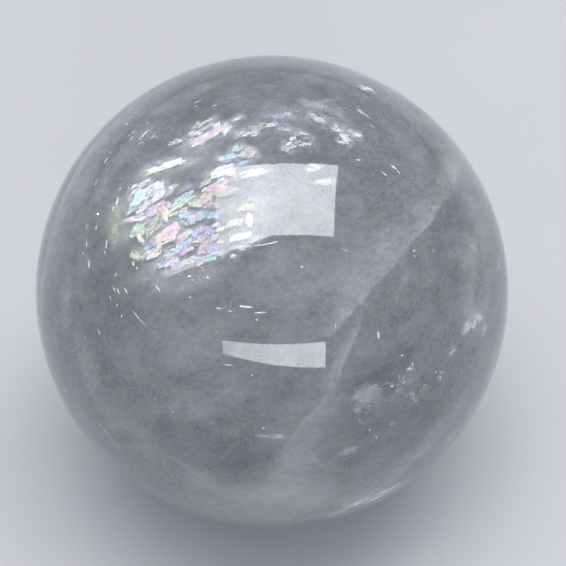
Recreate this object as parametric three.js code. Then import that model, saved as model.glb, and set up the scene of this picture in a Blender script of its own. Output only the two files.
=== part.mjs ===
// A polished sphere of calcite, ground from one piece of stone.
// It is round all over, except for a small flat that was ground on its underside so that it stands by itself.
// Millimetres, +Z up. The origin is the middle of the flat, and the side that is shown faces -Y.
import * as THREE from "three";

// Driving dimensions
const DIAMETER = 65;
const FLAT_DIAMETER = 10;

// How finely the ground curve is cut: along a meridian from the flat to the top, and round the girth
const MERIDIAN_STEPS = 36;
const GIRTH_STEPS = 72;

const CALCITE_GREY = 0x8d9297;

const radius = DIAMETER / 2;
const flatRadius = FLAT_DIAMETER / 2;
const centreHeight = Math.sqrt(radius ** 2 - flatRadius ** 2);

// Half of the sphere's section, from the middle of the flat, out to its edge, and up the ball to the top.
// x is the distance from the upright axis, and y the height above the flat.
function sectionPoints() {
  const flatEdgeAngle = Math.atan2(-centreHeight, flatRadius);
  const points = [new THREE.Vector2(0, 0)];
  for (let step = 0; step < MERIDIAN_STEPS; step++) {
    const angle = THREE.MathUtils.lerp(flatEdgeAngle, Math.PI / 2, step / MERIDIAN_STEPS);
    const outward = radius * Math.cos(angle);
    const height = centreHeight + radius * Math.sin(angle);
    points.push(new THREE.Vector2(outward, height));
  }
  points.push(new THREE.Vector2(0, centreHeight + radius));
  return points;
}

function calciteSphere() {
  const geometry = new THREE.LatheGeometry(sectionPoints(), GIRTH_STEPS);
  geometry.rotateX(Math.PI / 2); // a lathe turns about Y, and the stone stands along Z
  const material = new THREE.MeshStandardMaterial({
    color: CALCITE_GREY,
    roughness: 0.06,
    metalness: 0,
  });
  const mesh = new THREE.Mesh(geometry, material);
  mesh.name = "calcite_sphere";
  return mesh;
}

const stone = new THREE.Group();
stone.add(calciteSphere());

export default stone;
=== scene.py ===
"""A polished sphere of hazy calcite: the see-through ball, and the veils, cracks and stain inside it.

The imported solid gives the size. Everything is in metres, +Z up, and the side that is shown faces -Y.
"""
import itertools
import math
from collections import namedtuple

import bpy
import numpy as np
from bpy.props import FloatProperty, FloatVectorProperty, IntProperty, PointerProperty
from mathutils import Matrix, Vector


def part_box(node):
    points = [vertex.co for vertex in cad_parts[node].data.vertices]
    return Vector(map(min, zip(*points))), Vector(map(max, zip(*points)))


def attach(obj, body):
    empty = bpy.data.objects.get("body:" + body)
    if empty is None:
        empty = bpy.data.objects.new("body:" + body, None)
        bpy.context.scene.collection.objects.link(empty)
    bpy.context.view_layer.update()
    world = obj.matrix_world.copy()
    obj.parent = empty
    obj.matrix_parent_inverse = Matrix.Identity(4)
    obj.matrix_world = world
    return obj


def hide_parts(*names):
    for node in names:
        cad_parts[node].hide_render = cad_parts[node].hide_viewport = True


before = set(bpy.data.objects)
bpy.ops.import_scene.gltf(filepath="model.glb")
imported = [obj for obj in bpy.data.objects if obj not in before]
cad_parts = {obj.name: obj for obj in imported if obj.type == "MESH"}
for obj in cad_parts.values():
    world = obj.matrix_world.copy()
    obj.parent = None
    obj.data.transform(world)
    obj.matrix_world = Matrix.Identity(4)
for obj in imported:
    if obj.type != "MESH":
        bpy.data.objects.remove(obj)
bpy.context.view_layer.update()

bl_info = {
    "name": "Polished calcite sphere",
    "version": (1, 0, 0),
    "blender": (4, 5, 0),
    "location": "3D View > Sidebar > Calcite",
    "description": "A see-through ball of hazy calcite with milky veils and rainbow cracks inside",
    "category": "Add Mesh",
}

MM = 0.001
NODE = "calcite_sphere"
BODY = "root"

# The ball, as its solid gives it: round, with a flat underneath at height 0
LOWEST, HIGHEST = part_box(NODE)
RADIUS = (HIGHEST.x - LOWEST.x) / 2
CENTRE = np.array((0.0, 0.0, HIGHEST.z - RADIUS))
FLAT_RADIUS = math.sqrt(RADIUS**2 - CENTRE[2] ** 2)
ZENITH = np.array((0.0, 0.0, 1.0))
FRONT = np.array((0.0, -1.0, 0.0))

# The shown side: the camera stands in front of the ball, this far above the horizon
SHOWN_ELEVATION = math.radians(50)
RIGHT = np.array((1.0, 0.0, 0.0))
UP = np.array((0.0, math.sin(SHOWN_ELEVATION), math.cos(SHOWN_ELEVATION)))
OUT = np.array((0.0, -math.cos(SHOWN_ELEVATION), math.sin(SHOWN_ELEVATION)))

# The photograph's frame, the ball's outline in it, in pixels, and the lens that fits them
FRAME_PIXELS = 566
OUTLINE_CENTRE = (272.2, 291.5)
OUTLINE_RADIUS = 236.4
LENS = 110
SENSOR = 36
PIXELS_PER_SLOPE = LENS / SENSOR * FRAME_PIXELS
OUTLINE_SLOPE = OUTLINE_RADIUS / PIXELS_PER_SLOPE
CAMERA_DISTANCE = RADIUS / math.sin(math.atan(OUTLINE_SLOPE))
CENTRE_SLOPE = (
    (OUTLINE_CENTRE[0] - FRAME_PIXELS / 2) / PIXELS_PER_SLOPE * RIGHT
    + (FRAME_PIXELS / 2 - OUTLINE_CENTRE[1]) / PIXELS_PER_SLOPE * UP
)
EYE = CENTRE + CAMERA_DISTANCE * (OUT - CENTRE_SLOPE)

CALCITE_IOR = 1.6

# The direction along which the stone's mist and haze are drawn out
GRAIN_TILT = math.radians(22)
GRAIN = math.cos(GRAIN_TILT) * RIGHT + math.sin(GRAIN_TILT) * UP

# How far out from the centre things may lie, as shares of the radius: the sheets and what is placed as it
# shows, what is strewn, and the stain. Then how far above the flat, and from the skin, other things stay.
OUTERMOST = 0.985
STREWN_OUTERMOST = 0.97
STAIN_OUTERMOST = 0.992
CLEARANCE = 0.6 * MM

# How far, in degrees round the upright axis, the other sides lie from the shown one. What lies in them is
# also tipped forward, to where it shows to someone who looks from lower down. Its faces are tipped less than
# its places, because the light stays overhead.
OTHER_SIDES = (130, 200, 270)
PLACE_TIP = 30
FACE_TIP = 23
# Only what lies this far behind the centre, as a share of the radius, and this far above the flat is kept
BEHIND = 0.03
ABOVE_FLAT = 1.5 * MM
# Painted light: how much milkier and paler the ball is drawn all over the other sides, which get less light,
# on the scale of the clouds below
HIDDEN_SIDE_PAINTED_LIGHT = 0.12


def table(kind, *rows):
    """The rows of a table, each as a named tuple of its kind."""
    return [kind(*row) for row in rows]


def columns(rows):
    """The columns of a table, as one named tuple of arrays."""
    return type(rows[0])(*np.array(rows, float).T)


# In the tables below, right and up are measured as things show, from the middle of the ball's outline, in
# millimetres on the scale on which that outline has the ball's radius. So are lengths and widths. Tilts are
# in degrees, and depths in millimetres under the polish.

# The lights are flat panels, given by where their edges gleam on the ball, by the axis that they lie across,
# and by how far along it they are from the ball's centre
Light = namedtuple("Light", "gleam axis reach")
TOP_LIGHT = Light(
    (
        (9.1, 17.35), (8.85, 15.2), (8.65, 12.8), (8.55, 10.2), (8.45, 7.5), (3.8, 7.75), (0.0, 7.7),
        (-3.8, 6.4), (-7.2, 4.8), (-7.8, 10.5), (-7.4, 16.6), (-3.5, 17.3), (0.0, 17.5), (4.6, 17.5),
    ),
    ZENITH,
    0.9,
)
FRONT_LIGHT = Light(((-6.8, -6.7), (7.3, -6.9), (7.3, -10.4), (-6.8, -8.5)), FRONT, 1.0)
# The share of a light's width, from its left edge, over which it is dimmed
DIMMED_SHARE = 0.3

# Chips of the main crack. Rim and core are places in the rainbow ramp: the air film in the crack thickens
# from a chip's rim to its core. Turn is how many degrees a chip is turned away from where it flashes
# brightest.
Chip = namedtuple("Chip", "right up length width tilt rim core turn")
MAIN_CRACK = table(
    Chip,
    (-18.2, 14.5, 2.5, 0.7, 30, 0.12, 0.66, 0), (-17.3, 13.0, 4.1, 3.0, 10, 0.10, 0.14, 1),
    (-18.3, 13.0, 1.9, 1.6, 20, 0.86, 0.72, 0), (-16.1, 14.0, 1.9, 1.5, 20, 0.72, 0.82, 0),
    (-15.7, 12.9, 1.8, 0.8, 25, 0.10, 0.10, 0), (-17.8, 11.5, 1.5, 1.2, 30, 0.42, 0.80, 0),
    (-19.3, 11.3, 1.2, 1.0, 20, 0.98, 0.44, 6), (-19.0, 10.1, 1.8, 0.7, 12, 0.42, 0.44, 2),
    (-16.5, 10.9, 1.4, 1.1, 20, 0.42, 0.46, 2), (-17.3, 10.2, 0.8, 0.5, 20, 0.42, 0.40, 3),
    (-14.9, 11.2, 1.9, 1.6, 80, 0.24, 0.44, 0), (-12.5, 12.4, 2.4, 1.3, 25, 0.93, 0.80, 0),
    (-11.7, 13.0, 1.2, 0.8, 20, 0.56, 0.50, 0), (-13.5, 11.1, 1.5, 0.7, 25, 0.24, 0.22, 1),
    (-10.3, 12.0, 1.8, 0.8, 0, 0.22, 0.10, 0), (-12.0, 11.2, 0.8, 0.5, 25, 0.34, 0.42, 2),
    (-8.8, 12.0, 1.0, 0.7, 25, 0.42, 0.44, 1), (-7.9, 11.8, 0.7, 0.4, 0, 0.93, 0.93, 3),
    (-12.1, 10.4, 1.2, 0.7, 0, 0.62, 0.66, 1), (-10.9, 10.0, 1.4, 1.0, 10, 0.80, 0.12, 0),
    (-9.7, 10.6, 1.1, 1.0, 0, 0.68, 0.74, 0), (-8.1, 10.5, 1.4, 0.8, 5, 0.66, 0.74, 0),
    (-11.9, 9.6, 0.8, 0.4, 0, 0.72, 0.72, 2), (-8.0, 14.0, 3.6, 1.5, 35, 0.32, 0.46, 1),
    (-9.1, 13.0, 1.6, 0.8, 30, 0.28, 0.32, 1), (-5.9, 13.7, 2.5, 0.9, 8, 0.22, 0.28, 6),
    (-6.9, 16.5, 2.7, 1.1, 20, 0.12, 0.10, 0), (-5.9, 16.2, 1.0, 0.8, -30, 0.12, 0.10, 0),
    (-9.0, 15.1, 1.4, 0.7, 20, 0.90, 0.93, 5), (-2.6, 16.3, 2.8, 0.8, 14, 0.16, 0.12, 4),
    (-5.1, 9.5, 1.8, 0.8, 10, 0.22, 0.30, 1), (-3.1, 9.7, 1.4, 0.8, 80, 0.12, 0.10, 0),
    (-17.6, 8.9, 3.6, 1.8, 15, 0.96, 0.82, 6), (-16.5, 9.6, 1.4, 0.8, 25, 0.98, 0.44, 6),
    (-17.0, 8.2, 1.1, 0.7, 60, 0.93, 0.93, 5), (-18.2, 7.4, 1.4, 0.7, -60, 0.28, 0.12, 4),
    (-14.3, 7.8, 3.3, 1.5, 33, 0.30, 0.50, 1), (-15.4, 6.9, 1.1, 0.7, 30, 0.30, 0.34, 1),
    (-12.2, 7.6, 1.9, 0.8, 28, 0.64, 0.12, 2), (-9.1, 7.9, 3.8, 1.8, 15, 0.30, 0.62, 0),
    (-8.7, 7.5, 1.6, 1.1, 10, 0.60, 0.74, 0), (-10.2, 8.3, 1.6, 0.7, 50, 0.60, 0.54, 1),
    (-8.8, 6.9, 3.3, 0.4, 0, 0.30, 0.30, 1), (-16.5, 6.0, 2.5, 0.5, 8, 0.62, 0.62, 4),
    (-18.6, 5.0, 1.6, 1.0, -20, 0.26, 0.24, 6), (-16.5, 5.2, 2.3, 1.2, 10, 0.28, 0.12, 2),
    (-12.4, 6.0, 2.3, 1.6, 20, 0.42, 0.74, 1), (-9.2, 5.9, 1.6, 1.2, 10, 0.42, 0.38, 1),
    (-7.9, 5.7, 1.1, 1.1, 30, 0.60, 0.54, 2), (-8.3, 4.7, 1.5, 0.8, 15, 0.72, 0.74, 1),
    (-14.1, 4.1, 2.7, 0.8, 15, 0.82, 0.12, 3), (-12.0, 3.8, 3.6, 0.8, 18, 0.12, 0.12, 2),
    (-9.9, 4.1, 1.9, 0.8, 20, 0.12, 0.82, 3), (-14.1, 4.9, 1.9, 1.1, 20, 0.55, 0.96, 5),
    (-12.4, 3.0, 4.1, 0.5, 20, 0.12, 0.12, 6), (-14.9, 17.3, 4.7, 1.0, 14, 0.22, 0.12, 1),
    (-14.0, 13.8, 1.6, 0.4, 45, 0.42, 0.96, 4), (-11.9, 14.1, 1.1, 0.5, 30, 0.50, 0.50, 6),
    (-3.5, 11.5, 2.2, 0.7, 10, 0.22, 0.28, 5), (-4.4, 7.4, 2.2, 0.8, 15, 0.12, 0.12, 5),
    (-4.0, 6.1, 1.1, 0.5, 0, 0.12, 0.10, 2), (-5.3, 5.0, 0.5, 0.4, 0, 0.12, 0.10, 0),
    (5.6, 17.0, 1.2, 0.6, 5, 0.20, 0.14, 4), (7.0, 15.1, 1.7, 0.5, 5, 0.20, 0.14, 5),
)

# Chips of the crack above it, which shows over the top light's gleam
UPPER_CRACK = table(
    Chip,
    (-9.5, 23.2, 2.5, 0.4, 28, 0.30, 0.34, 3), (-9.2, 22.6, 2.2, 0.3, 25, 0.22, 0.26, 3),
    (-10.5, 21.8, 1.2, 0.5, 10, 0.14, 0.22, 1), (-9.1, 21.2, 3.8, 1.2, 25, 0.14, 0.58, 3),
    (-7.7, 22.1, 1.4, 1.1, 50, 0.12, 0.12, 0), (-10.6, 20.7, 2.5, 0.7, 20, 0.96, 0.12, 5),
    (-3.2, 21.8, 2.1, 0.5, 10, 0.93, 0.12, 0), (-2.1, 22.5, 1.6, 1.0, 20, 0.90, 0.93, 7),
    (1.6, 24.1, 1.0, 0.5, 10, 0.52, 0.12, 5), (-0.3, 22.9, 0.9, 0.5, 15, 0.12, 0.10, 1),
    (1.5, 22.3, 1.1, 0.4, -10, 0.96, 0.30, 6), (2.9, 20.4, 1.1, 1.0, 20, 0.10, 0.12, 0),
    (4.4, 20.1, 1.1, 0.5, -10, 0.72, 0.70, 0), (3.5, 21.8, 1.5, 0.5, -5, 0.66, 0.62, 6),
    (5.1, 21.1, 1.2, 0.6, -10, 0.40, 0.96, 7), (-4.7, 19.6, 1.1, 0.6, 20, 0.44, 0.98, 2),
    (-3.7, 19.0, 1.2, 0.7, 10, 0.86, 0.86, 1), (-3.1, 18.8, 1.0, 0.8, 10, 0.30, 0.34, 2),
    (-6.1, 18.3, 1.8, 0.5, 8, 0.68, 0.72, 0), (-4.0, 17.6, 1.1, 0.5, 10, 0.64, 0.60, 6),
    (6.2, 23.7, 1.6, 0.8, -35, 0.62, 0.10, 0), (9.0, 22.3, 0.9, 0.6, -50, 0.12, 0.22, 2),
    (10.1, 21.2, 1.3, 0.6, -50, 0.12, 0.10, 1), (11.5, 21.6, 0.9, 0.4, -35, 0.12, 0.10, 2),
    (9.8, 20.5, 0.7, 0.5, -30, 0.12, 0.10, 1), (13.0, 27.9, 1.1, 0.4, -20, 0.12, 0.10, 0),
    (-4.8, 23.7, 0.8, 0.3, 35, 0.12, 0.10, 1), (-6.5, 22.3, 1.2, 1.1, 60, 0.12, 0.22, 3),
    (-13.1, 20.6, 1.2, 0.5, 15, 0.12, 0.10, 2), (1.8, 19.5, 0.8, 0.4, -20, 0.12, 0.10, 2),
)

# Small orange and white chips near the right edge of what shows
EDGE_CRACK = table(
    Chip,
    (27.0, -5.0, 0.7, 0.4, 60, 0.28, 0.14, 0), (27.8, -4.5, 0.7, 0.4, 60, 0.12, 0.30, 0),
    (29.1, -5.2, 0.5, 0.25, 60, 0.10, 0.10, 0), (26.6, -5.4, 0.5, 0.25, 60, 0.34, 0.30, 1),
    (28.4, -3.7, 0.6, 0.25, 55, 0.62, 0.60, 2), (24.8, -8.3, 0.5, 0.25, 60, 0.12, 0.26, 1),
)

# Bundles of bright slivers that stand out on the shown side, with the number of strands in each
Sliver = namedtuple("Sliver", "right up length width tilt strands")
SLIVERS = table(
    Sliver,
    (-17.6, 21.6, 2.1, 0.16, 50, 1), (-19.1, 21.9, 0.8, 0.07, 50, 1), (-20, 23, 0.6, 0.13, 55, 1),
    (-16.4, 21.3, 1, 0.05, 50, 2), (-18.1, 22.9, 0.5, 0.05, 50, 1), (-18.2, 20.4, 0.8, 0.05, 48, 2),
    (-17.2, 23.2, 0.5, 0.04, 45, 1), (-19.4, 21, 1.1, 0.04, 50, 2), (-22.8, 18.1, 1.1, 0.16, 60, 1),
    (-22.2, 19.1, 0.7, 0.05, 60, 1), (-24.2, 15, 1.2, 0.06, 70, 1), (-20.9, 14.1, 0.5, 0.07, 75, 1),
    (-21.3, 12.4, 1.4, 0.16, 88, 1), (-21.9, 11.5, 0.7, 0.05, 85, 1), (-24.2, 8.8, 0.8, 0.05, 88, 1),
    (-25.5, 8.9, 0.5, 0.05, 88, 1), (-25.5, 6.6, 1.1, 0.13, -87, 1), (-25.2, 3.8, 1.1, 0.14, -83, 1),
    (-26, 5.3, 0.5, 0.07, -85, 1), (-22.8, 6.5, 1.2, 0.13, 86, 1), (-23, 5.4, 0.5, 0.08, 85, 1),
    (-19.1, 3.8, 0.7, 0.14, -85, 1), (-18.6, 3.2, 0.5, 0.07, -75, 1), (-21.5, 2.3, 0.5, 0.07, 80, 1),
    (-21.2, 0.1, 1, 0.07, -60, 2), (-20.1, 0.1, 1, 0.10, -60, 1), (-15.7, 0.4, 1.2, 0.10, -50, 1),
    (-18.4, -3.6, 3.2, 0.05, -46, 1), (-20.7, -3.4, 0.5, 0.10, 75, 1), (-21.3, -1.9, 0.5, 0.07, -60, 1),
    (-22.3, -0.8, 0.7, 0.05, -65, 1), (-10.3, 26.1, 1.4, 0.06, 28, 2), (-7.9, 25.6, 0.8, 0.07, 25, 1),
    (-4.8, 23.9, 0.7, 0.10, 30, 1), (12.6, 24.5, 2.7, 0.07, -46, 2), (13.7, 22.8, 1.1, 0.05, -46, 1),
    (16.7, 17.1, 1.1, 0.14, -35, 1), (17.4, 16.4, 0.7, 0.07, -50, 1), (15.4, 16.2, 1, 0.14, -35, 1),
    (11.8, 18.1, 0.7, 0.14, 0, 1), (-1, 6.5, 3.3, 0.06, 9, 1), (0, 6.7, 1.6, 0.07, 14, 1),
    (-2.5, 6.9, 1.2, 0.10, 25, 1), (-11.3, -0.8, 0.4, 0.13, 0, 1), (-8.9, 1.9, 0.4, 0.13, 0, 1),
    (-11.4, 2.1, 0.4, 0.12, 0, 1), (-5.3, 5.1, 0.4, 0.13, 0, 1), (4.1, 3.4, 0.4, 0.13, 0, 1),
    (-3.6, -2.1, 1.8, 0.13, -4, 1), (-4.3, -2, 0.4, 0.13, 0, 1), (-1.6, -2.9, 1.6, 0.05, 3, 1),
    (-2.1, -3.9, 0.4, 0.11, 0, 1), (-7.3, -2.3, 0.8, 0.05, -10, 1), (-5.8, -2.7, 0.4, 0.08, -20, 1),
    (-6.1, -10.1, 1.6, 0.04, -5, 1), (14.6, -6, 1.2, 0.14, -80, 1), (24.8, -8.3, 0.5, 0.13, 60, 1),
    (17.9, -8.8, 0.5, 0.11, 10, 1), (18.9, -10.6, 0.7, 0.21, 0, 1), (19.3, -10, 0.7, 0.07, 85, 1),
    (23.1, -12, 1, 0.10, 75, 1), (22.5, -11.1, 0.5, 0.07, -75, 1), (19.5, -14.8, 1.1, 0.07, -60, 1),
    (16.5, -13, 0.5, 0.13, -20, 1), (18.1, -12.5, 0.5, 0.13, 20, 1), (12.2, -17.9, 1.6, 0.04, -45, 1),
    (13.4, -19, 0.7, 0.07, -60, 1), (14.3, -20, 0.7, 0.10, -80, 1), (16.5, -18.3, 0.7, 0.13, -25, 1),
    (10, -21.7, 0.8, 0.10, 45, 1), (11.1, -21.5, 1.1, 0.07, 0, 1), (9.8, -25.7, 1, 0.07, 25, 1),
    (13, -26.5, 0.8, 0.10, 60, 1), (-23.8, -5.6, 1, 0.07, -60, 1), (-25.7, -6.3, 0.8, 0.05, -60, 1),
    (-16.1, -14.7, 0.4, 0.13, 0, 1), (-24.9, -16.2, 0.8, 0.07, -75, 1), (-22.8, -19.3, 1.8, 0.13, -49, 1),
    (-23.8, -18.2, 0.8, 0.05, -50, 1), (-17.8, -20, 1, 0.05, -30, 2), (-10.9, -26.2, 1.8, 0.07, -40, 2),
    (-10.1, -26.9, 0.7, 0.14, -45, 1), (-3.6, -20.3, 0.4, 0.12, 0, 1), (-1.2, -18.8, 0.5, 0.11, 0, 1),
    (-8.1, -18.2, 1, 0.07, 0, 1), (-2.8, -11.5, 0.3, 0.13, 0, 1), (-13.6, -16.6, 0.7, 0.05, -20, 1),
    (31.2, 3.8, 2.5, 0.13, 82, 1), (30.9, 5.4, 1.1, 0.05, 80, 1), (26.9, -18.1, 1.2, 0.10, 58, 1),
    (19.5, 5.6, 0.4, 0.12, 0, 1), (22.2, 5.6, 0.4, 0.13, 0, 1), (19.6, 4.8, 0.4, 0.08, 80, 1),
)

# The crescent of clean cracks just inside the outline at the lower right
CRESCENT = table(
    Sliver,
    (18.3, -26.6, 1.9, 0.16, 30, 6), (16.6, -27.3, 1.9, 0.26, 28, 6), (14.8, -28.0, 2.2, 0.36, 26, 6),
    (13.3, -28.6, 2.2, 0.40, 24, 6), (11.7, -29.2, 2.2, 0.34, 21, 6), (10.0, -29.8, 1.9, 0.22, 18, 6),
    (8.4, -30.4, 1.9, 0.14, 16, 6),
)

# The edges of the veils that show, from their upper ends
MAIN_VEIL_EDGE = (
    (24.9, 14.4), (23.4, 11.6), (21.4, 8.8), (19.5, 6.8), (17.8, 4.6), (15.6, 2.0), (13.9, 0.4),
    (12.2, -1.4), (10.3, -4.0), (8.0, -6.6),
)
LOWER_VEIL_EDGE = (
    (8.4, -9.3), (8.1, -11.3), (7.5, -13.5), (6.3, -15.8), (4.7, -17.4), (3.4, -18.8), (2.3, -20.5),
    (1.4, -21.9), (0.2, -23.9), (-0.5, -25.5),
)
FORKED_VEIL_EDGE = (
    (12.5, -1.2), (12.4, -3.6), (12.0, -5.2), (11.1, -7.2), (10.2, -8.9), (9.5, -10.7), (9.1, -12.4),
    (8.0, -15.0),
)

# The edge of a veil on a side that isn't shown, as it shows from there
BACK_VEIL_EDGE = ((-18.0, 16.0), (-12.0, 9.5), (-6.5, 5.0), (-1.0, 1.5), (5.0, -3.5), (10.5, -10.0))

# The veils. Sweep is how far a veil runs, right and up, from its edge as it sinks from its near depth to its
# far one. Fade is how slowly it thins out on that way, and turn how far round the ball it lies, in degrees.
Veil = namedtuple("Veil", "name edge sweep near far fade mist turn")
VEILS = table(
    Veil,
    ("main_veil", MAIN_VEIL_EDGE, (-5.2, 3.6), 7, 16, 0.62, 1.90, 0),
    ("lower_veil", LOWER_VEIL_EDGE, (3.4, -1.4), 6, 12, 0.50, 1.60, 0),
    ("forked_veil", FORKED_VEIL_EDGE, (-1.7, 0.6), 6, 9, 0.40, 1.50, 0),
    ("right_veil", MAIN_VEIL_EDGE, (-4.2, 3.6), 7, 16, 0.60, 1.70, 110),
    ("back_veil", BACK_VEIL_EDGE, (-5.0, -2.0), 6, 20, 0.60, 1.80, 165),
    ("far_veil", LOWER_VEIL_EDGE, (3.4, -1.4), 6, 12, 0.60, 1.60, 205),
    ("left_veil", BACK_VEIL_EDGE, (-4.0, 3.0), 6, 16, 0.60, 1.70, 260),
)

# Clouds in the ball's own stone, with how much milkier than the rest it is there, and its tint from -1,
# violet, to 1, green-yellow. Two of them are painted light: the broad one along the bottom edge and the thin
# one along the lower right edge.
Cloud = namedtuple("Cloud", "right up length width tilt milk tint")
CLOUDS_AND_PAINTED_LIGHT = table(
    Cloud,
    # The first cloud here, along the bottom edge, is painted light: it pales the stone where light gathers in
    # the bottom of the ball
    (1.0, -29.0, 20.0, 5.0, 3, 0.42, 1.2), (2.0, -25.5, 9.0, 5.0, 60, 0.36, 0.5),
    (-0.5, 3.0, 14.0, 5.0, 10, 0.16, 0.0), (-9.0, -5.5, 8.0, 9.0, 0, 0.13, 0.0),
    (-19.5, -8.0, 7.0, 6.0, 0, 0.14, 0.0), (13.0, -8.0, 6.0, 4.0, 0, 0.10, 0.0),
    (20.5, -13.5, 8.0, 5.0, 40, -0.08, 0.0), (-14.0, -13.5, 6.0, 5.0, 0, -0.12, 0.0),
    (-14.0, -24.0, 6.0, 4.0, -30, -0.10, 0.0), (5.2, -20.6, 8.0, 4.0, 55, 0.24, 0.0),
    (-9.0, -27.0, 12.0, 4.0, -22, 0.08, 1.0), (-19.0, -19.0, 12.0, 5.0, -45, 0.00, 1.0),
    (-12.0, -23.0, 6.0, 2.5, -38, 0.00, -1.0), (9.4, -24.4, 3.2, 2.4, 20, -0.24, 1.2),
    # The first cloud here, thin along the lower right edge, is painted light: a pale crescent where a
    # reflection shows
    (13.4, -28.7, 9.0, 1.6, 25, 0.80, -0.4), (7.6, -22.4, 4.0, 1.6, 0, -0.10, -1.2),
    (-5.0, -23.0, 9.0, 6.0, 20, -0.16, 0.0), (-10.0, -19.0, 9.0, 5.0, 0, -0.08, 0.0),
    (20.5, 4.0, 10.0, 8.0, 45, -0.20, 0.0), (25.0, 12.0, 5.0, 3.0, 60, -0.08, 0.0),
    (15.5, -13.5, 13.0, 8.0, 40, -0.16, -0.3), (21.0, -17.5, 8.0, 5.0, 40, -0.14, 0.4),
    (12.5, 24.0, 12.0, 8.0, -35, -0.10, 0.0), (24.5, 17.0, 8.0, 4.0, 64, 0.14, 0.8),
    (28.0, 6.0, 10.0, 4.0, 80, 0.12, 0.7), (27.5, -4.0, 6.0, 4.0, 70, 0.12, -0.6),
    (-21.3, 9.0, 7.0, 4.0, 85, 0.40, 1.2), (-15.0, 9.0, 12.0, 10.0, 15, 0.24, 0.0),
    (-9.0, 19.0, 7.0, 5.0, 20, 0.30, 0.0), (-13.5, 17.0, 8.0, 3.5, 20, 0.30, 0.0),
    (-12.0, 1.5, 10.0, 4.5, 20, 0.22, 0.0), (-2.0, -9.0, 6.0, 6.0, 0, -0.10, 0.0),
    (-20.5, -13.5, 7.0, 5.0, -30, -0.14, 0.3), (6.5, -13.5, 5.0, 8.0, -30, 0.14, 0.0),
)
# The iron stain in the skin
STAIN = Cloud(-7.2, 31.2, 2.4, 0.9, 12, 1.0, 0.0)

# Soft patches of mist, with their depth, how dense their mist is, how many tiny cracks lie on each square
# millimetre, and their tint
Patch = namedtuple("Patch", "right up length width tilt depth mist cracks tint")
PATCHES = table(
    Patch,
    (-3.6, 12.4, 9.0, 7.0, 10, 6, 1.00, 60, -0.2), (-8.0, 10.5, 9.0, 6.0, 20, 8, 0.60, 30, 0.0),
    (-15.5, 10.0, 10.0, 8.0, 15, 9, 0.60, 30, 0.0), (-11.5, 4.4, 13.0, 3.6, 20, 6, 0.85, 40, -0.1),
    (-12.7, 1.2, 9.0, 3.0, 20, 8, 0.40, 20, 0.0), (-8.9, 20.6, 8.0, 2.6, 28, 7, 0.60, 40, -0.2),
    (-2.5, 21.0, 7.0, 2.6, 12, 8, 0.45, 30, 0.4), (2.5, 24.0, 11.0, 4.4, -8, 7, 0.45, 20, -0.6),
    (5.4, 25.2, 5.0, 0.9, -40, 6, 0.80, 60, 0.0), (7.0, 26.1, 4.4, 0.8, 22, 6, 0.90, 60, 0.0),
    (8.8, 25.4, 3.0, 0.7, -45, 6, 0.70, 60, 0.0), (9.6, 24.0, 6.0, 0.8, -48, 6, 0.50, 40, 0.0),
    (10.5, 21.6, 7.0, 1.8, -40, 7, 0.40, 20, 0.0), (-13.5, 17.2, 7.0, 1.6, 14, 7, 0.45, 30, 0.0),
    (-19.0, 20.0, 9.0, 3.0, 45, 5, 0.35, 20, 0.0), (24.4, 17.0, 5.0, 3.4, 60, 5, 0.40, 40, 0.5),
    (28.2, 10.3, 9.0, 3.6, -66, 4, 0.35, 30, 0.0), (25.6, 5.6, 6.5, 5.0, 30, 4, 0.30, 30, 0.3),
    (29.6, 1.2, 6.0, 2.2, 85, 3, 0.40, 30, 0.0), (28.0, -3.8, 5.5, 4.5, 70, 3, 0.50, 40, -0.6),
    (29.2, -8.6, 6.0, 3.0, 70, 2, 0.45, 30, 0.8), (23.1, -19.0, 12.0, 4.0, 52, 3, 0.40, 20, 0.0),
    (16.2, -25.2, 12.0, 3.8, 33, 3, 0.45, 20, 0.0), (14.0, -28.3, 9.0, 1.3, 26, 1, 0.95, 60, 0.0),
    (7.4, -30.8, 9.0, 0.8, 12, 0.6, 0.80, 60, 0.0), (13.0, -14.6, 3.8, 3.0, 30, 4, 0.65, 40, 0.0),
    (18.6, -12.6, 4.6, 2.8, 60, 4, 0.40, 40, -0.4), (16.6, -15.6, 6.5, 3.4, 40, 5, 0.30, 20, 0.0),
    (8.0, -24.0, 9.0, 2.6, 35, 7, 0.30, 20, 0.6), (1.6, -28.0, 13.0, 5.0, 4, 5, 0.45, 30, 0.9),
    (-9.9, -25.6, 13.0, 3.6, -24, 4, 0.35, 30, 1.0), (-19.5, -19.0, 11.0, 4.4, -44, 4, 0.35, 20, 0.9),
    (-14.0, -15.0, 9.0, 5.0, -20, 6, 0.30, 15, 0.7), (-8.0, -14.0, 14.0, 4.5, 20, 8, 0.35, 15, 0.0),
    (-18.4, -10.6, 7.0, 2.6, 10, 5, 0.30, 15, 0.8), (-14.2, -9.6, 5.0, 2.2, -20, 5, 0.35, 10, -1.0),
    (-12.8, -23.6, 5.0, 1.6, -38, 4, 0.40, 10, -1.0), (-5.1, -19.0, 7.0, 1.6, 10, 7, 0.35, 20, 0.8),
    (-25.6, -10.0, 8.0, 3.0, -68, 3, 0.35, 30, 0.4), (-28.4, -1.0, 8.0, 2.4, 88, 3, 0.35, 30, 0.0),
    (-22.6, 15.6, 9.0, 2.4, 60, 3, 0.30, 30, 0.0), (-26.0, 5.0, 9.0, 2.2, 85, 3, 0.30, 30, 0.4),
    (-21.6, 10.6, 3.6, 2.4, 88, 4, 0.55, 40, 1.0), (-12.0, 27.0, 14.0, 2.6, 26, 3, 0.35, 20, 0.2),
    (9.0, 28.0, 14.0, 2.4, -18, 3, 0.30, 20, 0.0), (18.0, 20.5, 9.0, 3.0, -48, 5, 0.30, 20, 0.0),
)

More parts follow.
